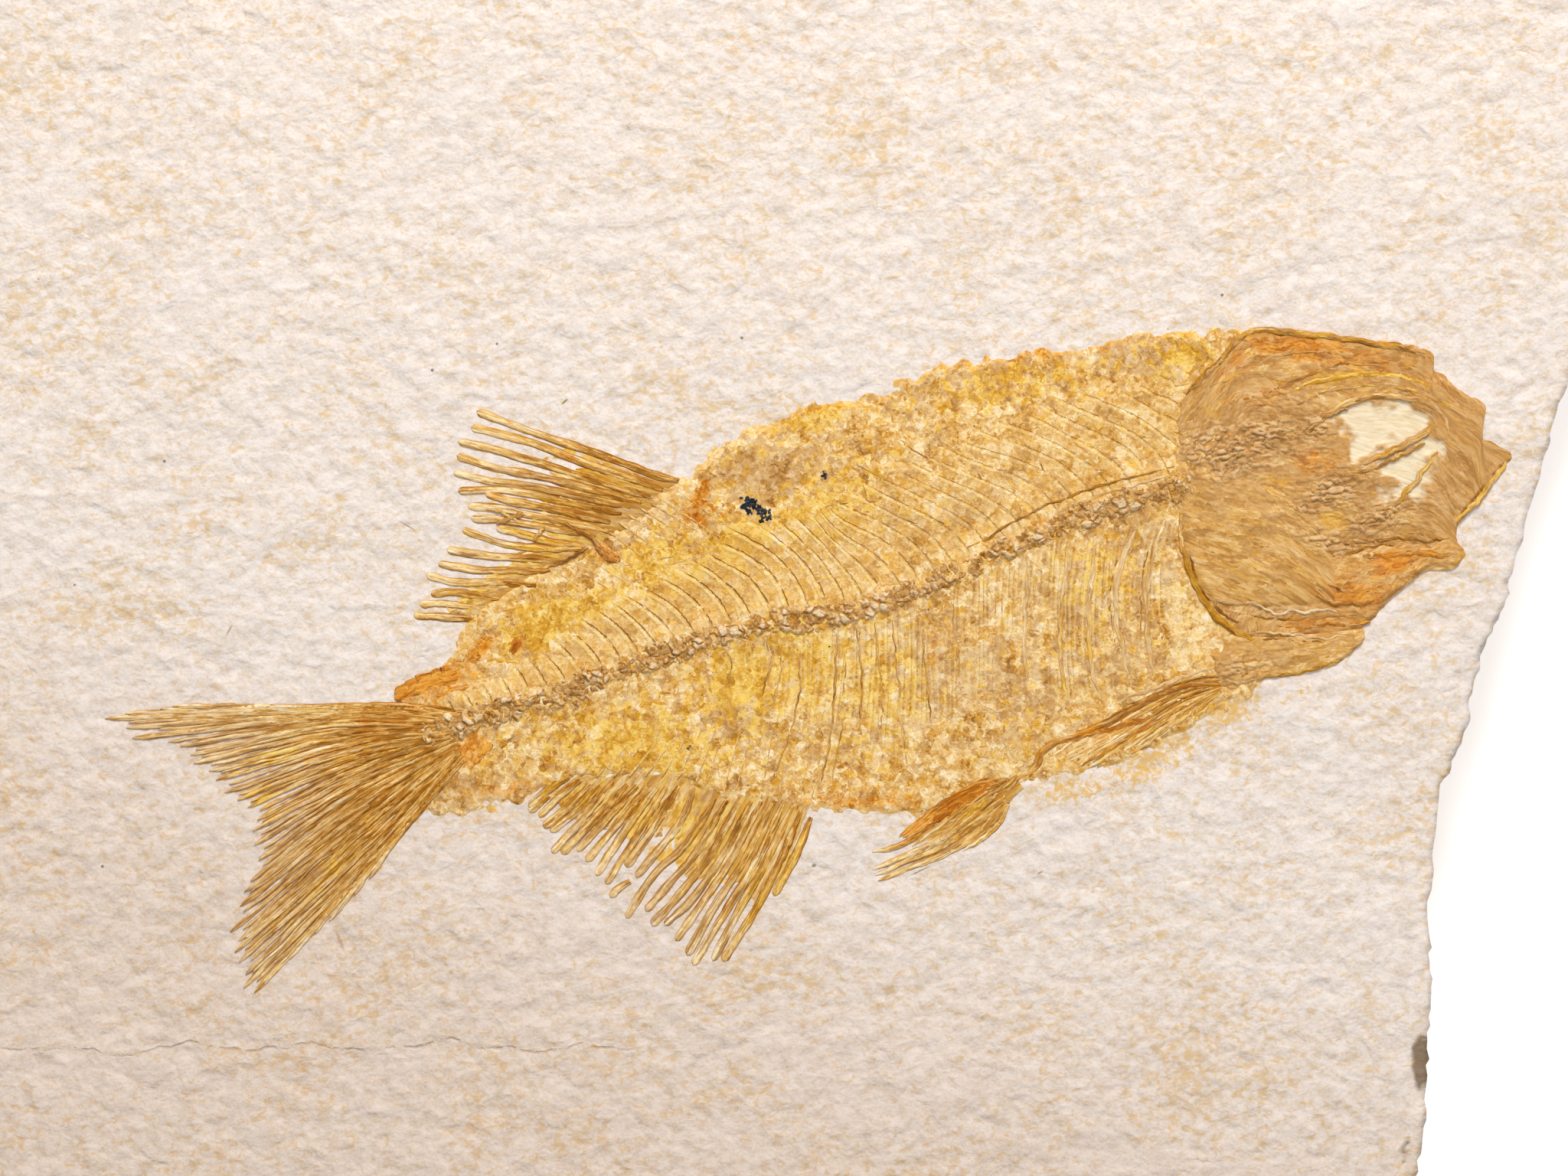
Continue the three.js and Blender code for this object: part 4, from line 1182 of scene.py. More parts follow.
def headMaterial(name, shade, rust, yellow, taupe, even):
    # bone with fibres along the sheet, evened out by one colour, rubble in places and bare stone in the eye
    material, kit, shader = newMaterial(name, 0.72)
    along, across = kit.value("flowAlong"), kit.value("flowAcross")
    bend = kit.noise(kit.place(), 0.5, 3, 0.55)
    across = kit.timesPlus(bend, kit.timesPlus(kit.value("calm"), -1.2, 0.35), across)
    flow = kit.vector(kit.times(along, 0.6), kit.times(across, 1.25), 0.0)
    coloured = useGroup(kit, fossilColour, {
        "Vector": flow, "Patch": 0.6, "Shade": kit.math("ADD", kit.value("shade"), shade),
        "Taupe": kit.math("ADD", kit.value("taupe"), taupe),
        "Rust": kit.math("ADD", kit.value("rust"), rust),
        "Yellow": kit.math("ADD", kit.value("yellow"), yellow), "Pale": kit.value("pale"),
    })
    length = kit.times(along, 2.2)
    fibres = useGroup(kit, streaks, {"Along": length, "Across": across, "Offset": 4.0, "Fineness": 4.5})
    loud = kit.math("SUBTRACT", 0.24, kit.times(kit.value("calm"), 0.6))
    dark = kit.times(kit.band(fibres["Fibre"], 0.36, 0.5, 1.0, 0.0), loud)
    evened = kit.timesPlus(kit.value("rust"), -0.5, 0.37, clamp=True)
    colour = kit.mix(evened, coloured["Color"], tone(*even))
    colour = kit.mix(dark, colour, tone(168, 108, 34))
    pale = kit.times(kit.band(fibres["Fibre"], 0.54, 0.68), loud)
    colour = kit.mix(pale, colour, tone(240, 206, 146))
    tilted = kit.place(turn=-12, stretch=(0.5, 1, 1))
    crumbs = useGroup(kit, crumble, {"Vector": tilted, "Size": 0.3, "Depth": 0.12})
    rubble, broken = kit.value("rubble"), kit.value("broken")
    colour = kit.mix(kit.times(rubble, 0.3), colour, tone(214, 174, 124))
    crack = kit.times(kit.band(broken, 0.05, 0.4, 0.8, 0.0), rubble, clamp=True)
    colour = kit.mix(crack, colour, tone(138, 92, 36))
    crest = kit.times(kit.band(broken, 0.75, 1.2, 0.0, 0.55), rubble, clamp=True)
    colour = kit.mix(crest, colour, tone(240, 206, 160))
    colour = kit.mix(kit.band(kit.value("fringe"), 0.2, 0.9, 0.0, 0.85), colour, tone(224, 178, 106))
    eye = kit.band(kit.timesPlus(fibres["Broad"], 0.6, kit.value("stoneShows")), 0.4, 1.25)
    bare = kit.ramp(fibres["Fibre"], [(0.35, tone(226, 202, 158)), (0.6, tone(242, 226, 196))])
    colour = kit.mix(eye, colour, bare)
    height = kit.timesPlus(fibres["Fibre"], 0.035, kit.times(coloured["Tone"], 0.03))
    height = kit.timesPlus(crumbs["Height"], kit.times(rubble, 0.75), height)
    dress(kit, shader, colour, height, kit.band(coloured["Tone"], 0.3, 0.7, 0.62, 0.84))
    return material


eyePatches = [
    # outlines of the stone that shows in the eye
    [
        (43.6, 11.3), (46.2, 12), (49, 11.9), (50.5, 10.9), (49.6, 9.8), (47.4, 8.8), (45.6, 7.8),
        (44.7, 8.3), (45, 9.8),
    ],
    [
        (50.4, 9.3), (50.8, 8.3), (49.9, 7), (48.9, 5.5), (47.6, 5), (46.9, 5.5), (48, 6.4), (47, 7.4),
        (48.6, 8.6),
    ],
]
headTints = {
    "rust": [
        (41, 15.9, 4.6, 1.1, -6, 0.65), (45.5, 15, 3.6, 0.8, -8, 0.5), (42.2, 7.9, 1.5, 1, -30, 0.55),
        (37, 15.2, 2.2, 1, 40, 0.45), (47.8, 0.7, 1.9, 1, 12, 0.75), (44.8, -1.5, 2.8, 1.1, 0, 0.65),
        (42.4, -3.4, 3, 0.7, 5, 0.45), (51.6, 13.2, 2, 1, -35, 0.25), (54.6, 6.4, 2.4, 0.3, 48, 0.4),
        (36.5, 9.6, 2, 1, 0, 0.3), (39, 12.4, 2.5, 0.7, 20, 0.35), (43.5, 3.6, 1.2, 0.8, 0, 0.3),
    ],
    "yellow": [
        (43.5, 13.7, 3.2, 0.5, 10, 0.95), (43.4, 3.8, 1.1, 0.8, 0, 1), (39.5, 6.4, 1.4, 0.6, 0, 0.6),
        (54.3, 5.8, 2.4, 0.35, 50, 0.9), (36.4, -3.6, 1.6, 0.3, -40, 0.7), (37.5, 1, 3, 2, 0, 0.2),
        (35, 11.5, 1.5, 1, 20, 0.4), (34, -0.6, 1.2, 0.35, -65, 0.8), (50.6, 15, 0.8, 0.3, -20, 0.6),
        (46.6, 16.4, 3, 0.15, -8, 0.7), (52.5, 1, 0.5, 0.9, 0, 0.5),
    ],
    "rubble": [
        (36.8, -6.9, 2.6, 1, 25, 0.8), (35.6, 8.4, 3.4, 2.2, 0, 1), (39, 9.6, 3.4, 1.7, 5, 0.9),
        (42.3, 10.3, 1.4, 1.5, 60, 0.9), (43.2, 5.7, 3.2, 1.4, 25, 0.9), (46.8, 4, 3.8, 1.3, 22, 0.85),
        (43.4, 2.2, 2.4, 0.8, -15, 0.8), (38.5, -2.6, 3.5, 0.4, 0, 0.5), (39.5, 12, 3, 1.2, 15, 0.5),
    ],
    "shade": [
        (52.8, 8, 3.6, 6, 20, -0.12), (48.5, 3.5, 2.6, 1.2, 20, -0.03), (37, 12.5, 2, 2, 0, 0.02),
    ],
    "taupe": [
        (52.8, 8, 3, 5, 20, 0.9), (36, 8, 3.5, 2.5, 0, 0.5), (49, 13.6, 2, 1, -10, 0.4),
    ],
    "calm": [(37.6, 1, 4.4, 4.2, 0, 0.22), (52.6, 8, 2.6, 4.6, 20, 0.14)],
    "pale": [
        (40.8, 1.5, 1.2, 0.28, -40, 0.5), (39.6, 15.2, 1.4, 0.35, 0, 0.4), (46.8, 13.8, 1.6, 0.25, 5, 0.4),
    ],
}

headSheets = [
    # a bone stands "step" over the skull, swells by "dome" and is rounded over "round" in from its rim
    {
        "name": "skullBones", "node": "skull", "rows": 250, "cols": 300,
        "step": 0.0, "dome": 0.0, "round": 0.7,
        "material": ("skull bone", -0.05, 0.12, -0.17, 0.3, (199, 149, 86)),
        "back": [
            (33, 12.6), (34.6, 14.2), (36.2, 16.2), (37.6, 17.3), (39.8, 17.3), (43, 17), (46, 16.6),
            (49, 16.2), (50.6, 15.5), (50.6, 14.7), (51.8, 13.8), (53, 12.9), (54.3, 12.1), (54.1, 11),
            (53.9, 10), (54.9, 9.4), (56.2, 8.7),
        ],
        "belly": [
            (36.6, -4.6), (39, -4.9), (43, -4.6), (45.5, -4.1), (46.9, -3), (48, -1.6), (49.2, -0.4),
            (50, 0.4), (51.9, 0.6), (52.5, 1.4), (52.3, 2.4), (52.6, 3.6), (53.9, 5.2), (55.2, 6.8),
            (56.1, 7.9),
        ],
        "rear": [
            (33, 12.6), (32.4, 10.4), (32.4, 7.9), (32.7, 5.1), (32.9, 2), (33.6, -0.6), (34.8, -2.8),
            (36.6, -4.6),
        ],
        "front": [(56.2, 8.7), (56.35, 8.3), (56.1, 7.9)],
    },
    {
        "name": "gillCover", "node": "gill_cover", "rows": 130, "cols": 150,
        "step": 0.1, "dome": 0.2, "round": 0.8, "wave": 0.12,
        "material": ("gill cover bone", -0.06, 0.0, -0.12, 0.15, (212, 164, 96)),
        "back": [(32.5, 8), (34.5, 7.5), (37, 7), (39.5, 6.2), (41.5, 4.6), (42.4, 3.2)],
        "belly": [(36, -2.3), (38, -2.4), (40, -2.7), (42, -2.5), (43.9, -2.7)],
        "rear": [(32.5, 8), (32.7, 5.1), (32.9, 2), (33.6, -0.3), (34.6, -1.8), (36, -2.3)],
        "front": [(42.4, 3.2), (43.3, 1.8), (44.1, 0.4), (44.4, -1.2), (43.9, -2.7)],
    },
    {
        "name": "lowerJaw", "node": "lower_jaw", "rows": 120, "cols": 64,
        "step": 0.08, "dome": 0.16, "round": 0.5,
        "material": ("jaw bone", -0.02, 0.15, -0.12, 0.2, (208, 156, 90)),
        "back": [(43.6, 1.4), (45.4, 1.6), (47, 2.1), (48.6, 2.3), (50.2, 2.2), (51.8, 2.4), (52.7, 1.8)],
        "belly": [
            (42, -1.6), (44, -2.5), (46.4, -2.6), (47.7, -1.6), (49, -0.6), (50.1, 0.2), (51.9, 0.3),
            (52.6, 1),
        ],
        "rear": [(43.6, 1.4), (42.6, 0), (42, -1.6)],
        "front": [(52.7, 1.8), (52.85, 1.4), (52.6, 1)],
    },
    {
        "name": "shoulderBone", "node": "shoulder_bone", "rows": 130, "cols": 56,
        "step": 0.0, "dome": 0.14, "round": 0.6, "fringe": 3.5,
        "material": ("shoulder bone", -0.03, 0.05, -0.1, 0.2, (210, 160, 90)),
        "back": [(34.4, -3.9), (36.6, -3.9), (39, -4), (42, -3.8), (46.2, -3.6)],
        "belly": [
            (33.6, -8.4), (36.4, -8.4), (38.6, -7.7), (41.4, -7.3), (43.8, -6.5), (45, -5.6), (45.6, -4.9),
        ],
        "rear": [(34.4, -3.9), (33.6, -6), (33.6, -8.4)],
        "front": [(46.2, -3.6), (46.1, -4.3), (45.6, -4.9)],
    },
]


headRelief = {"fibre": 0.018, "rubble": 0.2, "eyeDepth": 0.2, "rimSunk": 0.12}


def buildHeadSheets():
    # each bone is a sheet between four borders: bed, head film, dome and the relief of fibres and rubble,
    # less the depth of the eye, falling to the stone at a ragged rounded rim
    for sheet in headSheets:
        back, belly = smoothLine(sheet["back"], sheet["rows"]), smoothLine(sheet["belly"], sheet["rows"])
        rear, front = smoothLine(sheet["rear"], sheet["cols"]), smoothLine(sheet["front"], sheet["cols"])
        grid = coonsGrid(back, belly, rear, front)
        x, y = grid[..., 0], grid[..., 1]
        lengths = np.linalg.norm(np.gradient(grid, axis=0), axis=2)
        widths = np.linalg.norm(np.gradient(grid, axis=1), axis=2)
        along, across = np.cumsum(lengths, axis=0), np.cumsum(widths, axis=1)
        total, totalAcross = along[-1:], across[:, -1:]
        fromRear = along / sheet.get("fringe", 1.0)
        inset = np.minimum(np.minimum(fromRear, total - along), np.minimum(across, totalAcross - across))
        flow = across + sheet.get("wave", 0.3) * roughness(x, y, 3.2, 74, 2)
        fibre = roughness(along * 0.35, flow * 2.4, 0.8, 75, 3)
        ragged = 0.2 * roughness(x, y, 0.7, 76, 3)
        rim = smoothRamp(inset + ragged, 0.02, sheet["round"])
        fields = patchFields(x, y, headTints)
        eyes = np.maximum(*[insideOutline(x, y, outline) for outline in eyePatches])
        eyes = smoothRamp(eyes + 0.7 * roughness(x, y, 0.9, 77, 4), -0.8, 0.9)
        fields["stoneShows"] = eyes
        crushed = roughness(x, y, 0.5, 80, 3)
        block, pick = blocks(x * 0.55 + 0.25 * crushed, y + 0.25 * x + 0.2 * crushed, 0.42, 78)
        fields["broken"] = block * (0.5 + 0.8 * pick) + 0.2 * roughness(x, y, 0.3, 79, 2)
        relief = (headRelief["fibre"] - 0.03 * fields["calm"]) * fibre
        relief = relief + headRelief["rubble"] * fields["rubble"] * (fields["broken"] - 0.5)
        dome = sheet["dome"] * smoothRamp(inset, 0, 3.0)
        lift = headLift(x, y) + sheet["step"] + dome + relief * (1 - eyes) - headRelief["eyeDepth"] * eyes
        under = (headLift(x, y) if sheet["step"] > 0 else 0) - headRelief["rimSunk"]
        top = bedHeight(x, y) + lift * rim + under * (1 - rim)
        fields["fringe"] = (1 - smoothRamp(along + 3 * ragged, 0.0, 2.2)) * (sheet.get("fringe", 1.0) > 1)
        fields["flowAlong"] = along
        fields["flowAcross"] = flow
        fields["shade"] = fields["shade"] - 0.05 * (1 - smoothRamp(inset, 0.0, 0.7)) + 0.015 * fibre
        top = np.minimum(top, proudest - 0.1)
        material = headMaterial(*sheet["material"])
        platePiece(sheet["name"], grid, top, bedTop - 0.9, fields, material, sheet["node"])


headStrands = {
    # single bones on the head's sheets, and one painted shadow: (points, width, lift, shade, rust, yellow,
    # pale)
    "skull": [
        ([(36.2, 16.2), (38.5, 17.1), (42, 16.8), (46, 16.3), (50.2, 15.4)], 0.5, 0.16, -0.12, 0.15, 0.2),
        ([(33.2, 12.6), (35, 14.3), (36.8, 16.2), (38, 17)], 0.45, 0.14, -0.14, 0.1, 0.1),
        ([(34, 12.9), (36, 13.6), (38, 14.6), (40, 15.4), (44, 15.6)], 0.3, 0.1, -0.05, 0.2, 0.1),
        ([(35, 11.6), (38, 12.4), (41, 13.6), (44, 14.6), (48, 14.8), (50.4, 14.2)], 0.34, 0.1, -0.1, 0.3),
        ([(39, 12.2), (42, 13.3), (45, 13.9), (48, 13.9), (51, 12.8)], 0.42, 0.1, 0, 0, 0.8, 0.1),
        ([(40.5, 11.6), (43, 12.8), (46, 13.3), (49, 13),
          (51.6, 11.8), (53.4, 10.6)], 0.45, 0.12, -0.02, 0, 0.1),
        ([(42.2, 10.7), (44.5, 11.9), (47, 12.5), (49.8, 12.2),
          (51.2, 11.1), (51.8, 9.8)], 0.5, 0.16, -0.02, 0, 0, 0.2),
        ([(41.5, 9.8), (43, 11), (44.6, 11.7)], 0.4, 0.14, -0.12),
        ([(45.2, 7.5), (47, 8.3), (49, 9.3), (50.6, 10.2), (51.4, 10.4)], 0.5, 0.13, 0, 0.05, 0, 0.1),
        ([(44, 7), (46.2, 7.3), (48, 8.2), (50, 9.2)], 0.26, 0.1, -0.1),
        ([(46.2, 4.6), (47.8, 4.9), (49, 6.1), (50.2, 7.6), (50.9, 8.6)], 0.34, 0.08, 0.04, 0, 0.1, 0.1),
        ([(51.5, 3.3), (53, 4.4), (54.2, 5.8), (55.8, 7.9)], 0.4, 0.1, 0, 0.1, 0.5),
    ],
    "gill_cover": [
        ([(41.6, 2.9), (42.8, 1.9), (44.2, 1.3), (46, 1.9), (48.2, 2)], 0.24, 0.12, -0.18),
        ([(36.6, -2.3), (37.6, -2), (38.6, -2.4), (39.6, -2.9), (40.6, -2.5), (41.6, -2.8), (42.8, -2.5),
          (44.0, -2.8)], 0.24, 0.17, 0.1, 0, 0, 0.45),
        # painted shadow: a dark line laid just under the gill cover's cream ridge above
        ([(37.2, -2.9), (39, -3.1), (41, -3.2), (43.4, -3), (45.8, -2.9)], 0.26, 0.1, -0.16, 0.2),
        ([(38.6, -3.6), (41, -3.7), (43.4, -3.6), (46.2, -3.4)], 0.3, 0.1, -0.05, 0.5, 0.1),
    ],
    "lower_jaw": [
        ([(44, 2), (46, 2.3), (48.4, 2.5), (50.4, 2.3), (52, 2.6)], 0.24, 0.12, -0.2),
        ([(45, 1.4), (47.4, 1.2), (49, 1.5), (50.6, 1.3), (52.3, 1.2)], 0.5, 0.14, -0.1, 0.5, 0.2),
        ([(43.2, -0.7), (45, -1.3), (47, -1), (48.6, 0)], 0.3, 0.1, 0, 0.3, 0, 0.3),
        ([(42, -1.5), (43.6, -2), (45.4, -2.1), (46.8, -1.7)], 0.3, 0.1, -0.06, 0.4),
    ],
    "shoulder_bone": [
        ([(37.4, -4.2), (39.4, -4.1), (41.2, -4.3), (43, -4.5), (45, -4.3)], 0.22, 0.14, 0.06, 0, 0, 0.4),
        ([(37.8, -4.6), (40, -4.6), (42.2, -4.8), (44, -4.9)], 0.2, 0.1, -0.2),
        ([(32.9, 2.2), (33.5, 0.2), (34.5, -1.9), (36, -3.6), (38.2, -4.8)], 0.5, 0.18, -0.12, 0.1, 0.6),
        ([(33.4, 1.4), (34.1, -0.6), (35.2, -2.2), (37, -3.6)], 0.22, 0.14, -0.2),
        ([(32.9, 4.4), (32.8, 3.2), (32.9, 2), (33.3, 0.6)], 0.3, 0.08, 0.04, 0, 0, 0.2),
        ([(36, -5.2), (39, -5.5), (42, -5.3), (45, -4.9)], 0.34, 0.1, 0, 0, 0.5, 0.1),
        ([(36.2, -6), (39, -6.3), (42.2, -6), (44.8, -5.4)], 0.34, 0.1, -0.08, 0.2, 0.6),
        ([(36, -6.8), (39, -7.1), (42, -6.7), (44, -6)], 0.3, 0.1, -0.12, 0.1, 0.3),
    ],
}


def headGround(x, y):
    # the sheet surface that the strands lie on, stepped up over the gill cover and jaw
    lift = bedHeight(x, y) + headLift(x, y) - 0.03
    for sheet in headSheets:
        if sheet["step"] > 0:
            outline = sheet["back"] + sheet["front"][1:]
            outline = outline + sheet["belly"][::-1][1:] + sheet["rear"][::-1][1:-1]
            inset = insideOutline(x, y, outline)
            lift = lift + sheet["step"] * smoothRamp(inset, 0.1, 0.5)
            lift = lift + sheet["dome"] * smoothRamp(inset, 0, 3.0)
    return lift


buildHeadSheets()
for headNode, rows in headStrands.items():
    handSetStrands(headNode + "Strands", rows, headGround, headNode)


# Fins.
fins = {
    "dorsal_fin": {
        "name": "dorsalRays", "width": 0.62, "blunt": True, "lift": 0.13, "between": 0, "shiver": 0.03,
        "rays": [
            [(-2.4, 6.5), (-4.6, 7.1), (-8, 8.4), (-12, 9.7), (-16.6, 11.4)],
            [(-3.5, 5.9), (-6.2, 6.8), (-9.4, 7.9), (-13, 9.3), (-17, 10.3)],
            [(-4.4, 5.4), (-8.2, 6.5), (-12, 7.7), (-15, 8.6), (-17.9, 9.3)],
            [(-5, 5), (-8.4, 5.9), (-12, 6.8), (-15.2, 7.4), (-18, 8.3)],
            [(-5.8, 4.7), (-9.4, 5.4), (-12.6, 6.1), (-15.6, 6.5), (-18.2, 7.1)],
            [(-6.4, 4.2), (-9.8, 4.9), (-12.8, 5.6), (-15.2, 5.9), (-17.9, 5.8)],
            [(-7.2, 3.6), (-9.8, 4.2), (-12.2, 4.7), (-14.2, 5.1), (-16, 5.6)],
            [(-7.3, 3), (-10, 3.6), (-12.8, 4.1), (-15, 4.6), (-17.2, 4.7)],
            [(-8.2, 2.7), (-10.8, 3.1), (-13.2, 3.5), (-15.2, 3.8), (-17, 3.9)],
            [(-9, 1.9), (-11.2, 2.2), (-13.4, 2.8), (-15.2, 3.2)],
            [(-9.2, 1.7), (-12.2, 1.8), (-15, 2.2), (-17.6, 3.1)],
            [(-10.6, 0.9), (-13.4, 1.1), (-16.2, 1.3), (-18.7, 1.7)],
            [(-11.4, 0.2), (-14.2, 0.2), (-16.8, 0.3), (-19.3, 0.7)],
            [(-12.4, -0.8), (-15.2, -0.6), (-18, -0.6), (-20.1, -0.1)],
            [(-15, -1.8), (-16.6, -1.5), (-18.2, -1.3), (-19.8, -1.4)],
            [(-16.4, -2.4), (-18, -2.2), (-19.4, -2.1), (-20.6, -2.2)],
            [(-16.6, -3.2), (-18.2, -3.1), (-19.6, -3), (-21, -2.9)],
        ],
    },
    "anal_fin": {
        "name": "analRays", "width": 0.62, "blunt": True, "lift": 0.13, "between": 0, "shiver": 0.02,
        "rays": [
            [(-10.1, -14.3), (-11.6, -15.2), (-12.9, -16.4)],
            [(-11.5, -15.6), (-12.2, -16.2), (-12.9, -16.7)],
            [(-9.3, -14.5), (-10.9, -15.8), (-12.2, -17.1)],
            [(-8.6, -14.8), (-10.2, -16.4), (-11.9, -17.8)],
            [(-7.9, -14.9), (-9.6, -16.7), (-11.4, -18.1)],
            [(-7, -14.6), (-8.9, -17), (-11.3, -19.6)],
            [(-6, -14.8), (-8.3, -17.3), (-10.6, -19.7)],
            [(-5.3, -14.9), (-7.4, -17.2), (-9.5, -19.5)],
            [(-4.6, -15), (-6.7, -17.6), (-8.9, -20.2)],
            [(-3.8, -14.9), (-6, -17.8), (-8.2, -21.2)],
            [(-3.2, -14.9), (-5.2, -18.2), (-7.5, -21.8)],
            [(-2.4, -14.9), (-4.2, -17.9), (-6.1, -20.6)],
            [(-1.3, -15), (-2.2, -17.3), (-3.8, -19.4), (-5.4, -21.3)],
            [(-5.8, -21.6), (-6.6, -22.1), (-7.2, -22.7)],
            [(0.2, -15.8), (-1.8, -18.9), (-4.1, -21.1), (-6.1, -24.2)],
            [(1, -15.9), (-1.2, -19.6), (-3, -21.7), (-4.7, -23.7)],
            [(1.9, -16), (-0.3, -19.9), (-2.4, -22.6), (-4.3, -24.7)],
            [(2.7, -16), (0.6, -19.9), (-1.4, -22.8), (-3.4, -24.7)],
            [(3.4, -16), (1.3, -20.1), (-0.6, -22.9), (-2.6, -25.8)],
            [(4.2, -16.1), (2.1, -20.3), (0.1, -23.4), (-1.8, -26.8)],
            [(4.9, -16.2), (2.9, -20.4), (0.8, -23.9), (-1.4, -27.5)],
            [(5.6, -16.3), (3.7, -20.3), (1.9, -23.5), (0, -27.2)],
            [(6.2, -16.7), (4.6, -20.5), (2.8, -23.9), (0.7, -27.2)],
            [(6.9, -17.1), (5.9, -19.6), (4.3, -22.6)],
        ],
    },
    "pelvic_fin": {
        "name": "pelvicRays", "width": 0.42, "blunt": False, "lift": 0.12, "between": 1, "shiver": 0.05,
        "rays": [
            [(20.3, -14.4), (18.4, -14.9), (16.6, -15.8), (14.8, -17.2), (13.1, -18.5)],
            [(19.9, -14.9), (18.2, -15.5), (16.4, -16.5), (13.6, -18.6)],
            [(21.4, -14.2), (18.4, -16.5), (14.4, -19.7)],
            [(20.6, -15.2), (17.8, -17.6), (15.4, -19.4)],
            [(20.4, -16), (16.6, -18.4), (11.2, -20.8)],
            [(20.6, -16.2), (17.4, -19), (11.6, -21.6)],
            [(20.8, -16.2), (19.8, -17.9), (17.6, -19.5)],
            [(15.5, -17.6), (13.4, -19), (11.2, -19.6)],
        ],
    },
    "pectoral_fin": {
        "name": "pectoralRays", "width": 0.3, "blunt": False, "lift": 0.09, "between": 1, "shiver": 0.05,
        "rays": [
            [(36.2, -6.9), (33.5, -7.5), (30.5, -9), (27.2, -10.6), (24.6, -11.7), (22.6, -13.4)],
            [(36.2, -7.2), (33.5, -7.9), (30.5, -9.4), (27.6, -10.9), (25, -12.2)],
            [(36, -7.5), (33.2, -8.3), (30.2, -9.9), (27, -11.6), (24.6, -12.9)],
            [(35.9, -7.8), (33, -8.8), (30, -10.4), (27.2, -12.1), (25, -13.2)],
            [(35.8, -8), (33, -9.2), (30.4, -10.8), (28, -12.2), (25.7, -13.7)],
            [(35.6, -8.3), (33.2, -9.5), (30.8, -11.1), (28.6, -12.6), (27, -13.6)],
            [(35.5, -8.5), (33.4, -9.9), (31.2, -11.5), (29.4, -12.7)],
            [(35.2, -8.7), (33.8, -9.9), (32.4, -11.1)],
        ],
    },
}
tail = {
    "roots": [
        (-17.6, -9.6), (-17.9, -10.2), (-18, -10.9), (-18, -11.6), (-17.8, -12.4), (-17.5, -13.2),
    ],
    "middles": [
        (-22.6, -9.2), (-24.6, -9.6), (-26.4, -10.3), (-27, -11), (-26.6, -11.8), (-26, -12.9),
        (-25.6, -14.1), (-25.4, -15.6), (-25, -17), (-24.4, -18.2), (-23.6, -18.9), (-22.6, -18.8),
        (-21.4, -17.6),
    ],
    "tips": [
        (-27.6, -9.5), (-34.2, -9.4), (-38, -9.35), (-41.3, -9.8), (-42.7, -10.2), (-41.2, -10.8),
        (-38.4, -11.2), (-40.8, -11.5), (-37.4, -12.1), (-36.7, -12.7), (-36.5, -13.3), (-35.4, -13.9),
        (-34.9, -14.5), (-34.3, -15.4), (-33.4, -15.9), (-32.7, -16.4), (-32, -17.3), (-32.3, -18.1),
        (-32.2, -19.1), (-31.9, -20.1), (-32.5, -21.6), (-32.9, -22.4), (-33.2, -23.4), (-33.9, -25.2),
        (-33.3, -25.8), (-33.6, -26.6), (-33.3, -27.3), (-32.8, -28.2), (-33, -29.1), (-32.2, -29.5),
        (-29.8, -27.1), (-27, -24.4), (-24.2, -21.4),
    ],
    "width": 0.42,
    "lift": 0.17,
    "blunt": False,
    "shiver": 0.06,
}

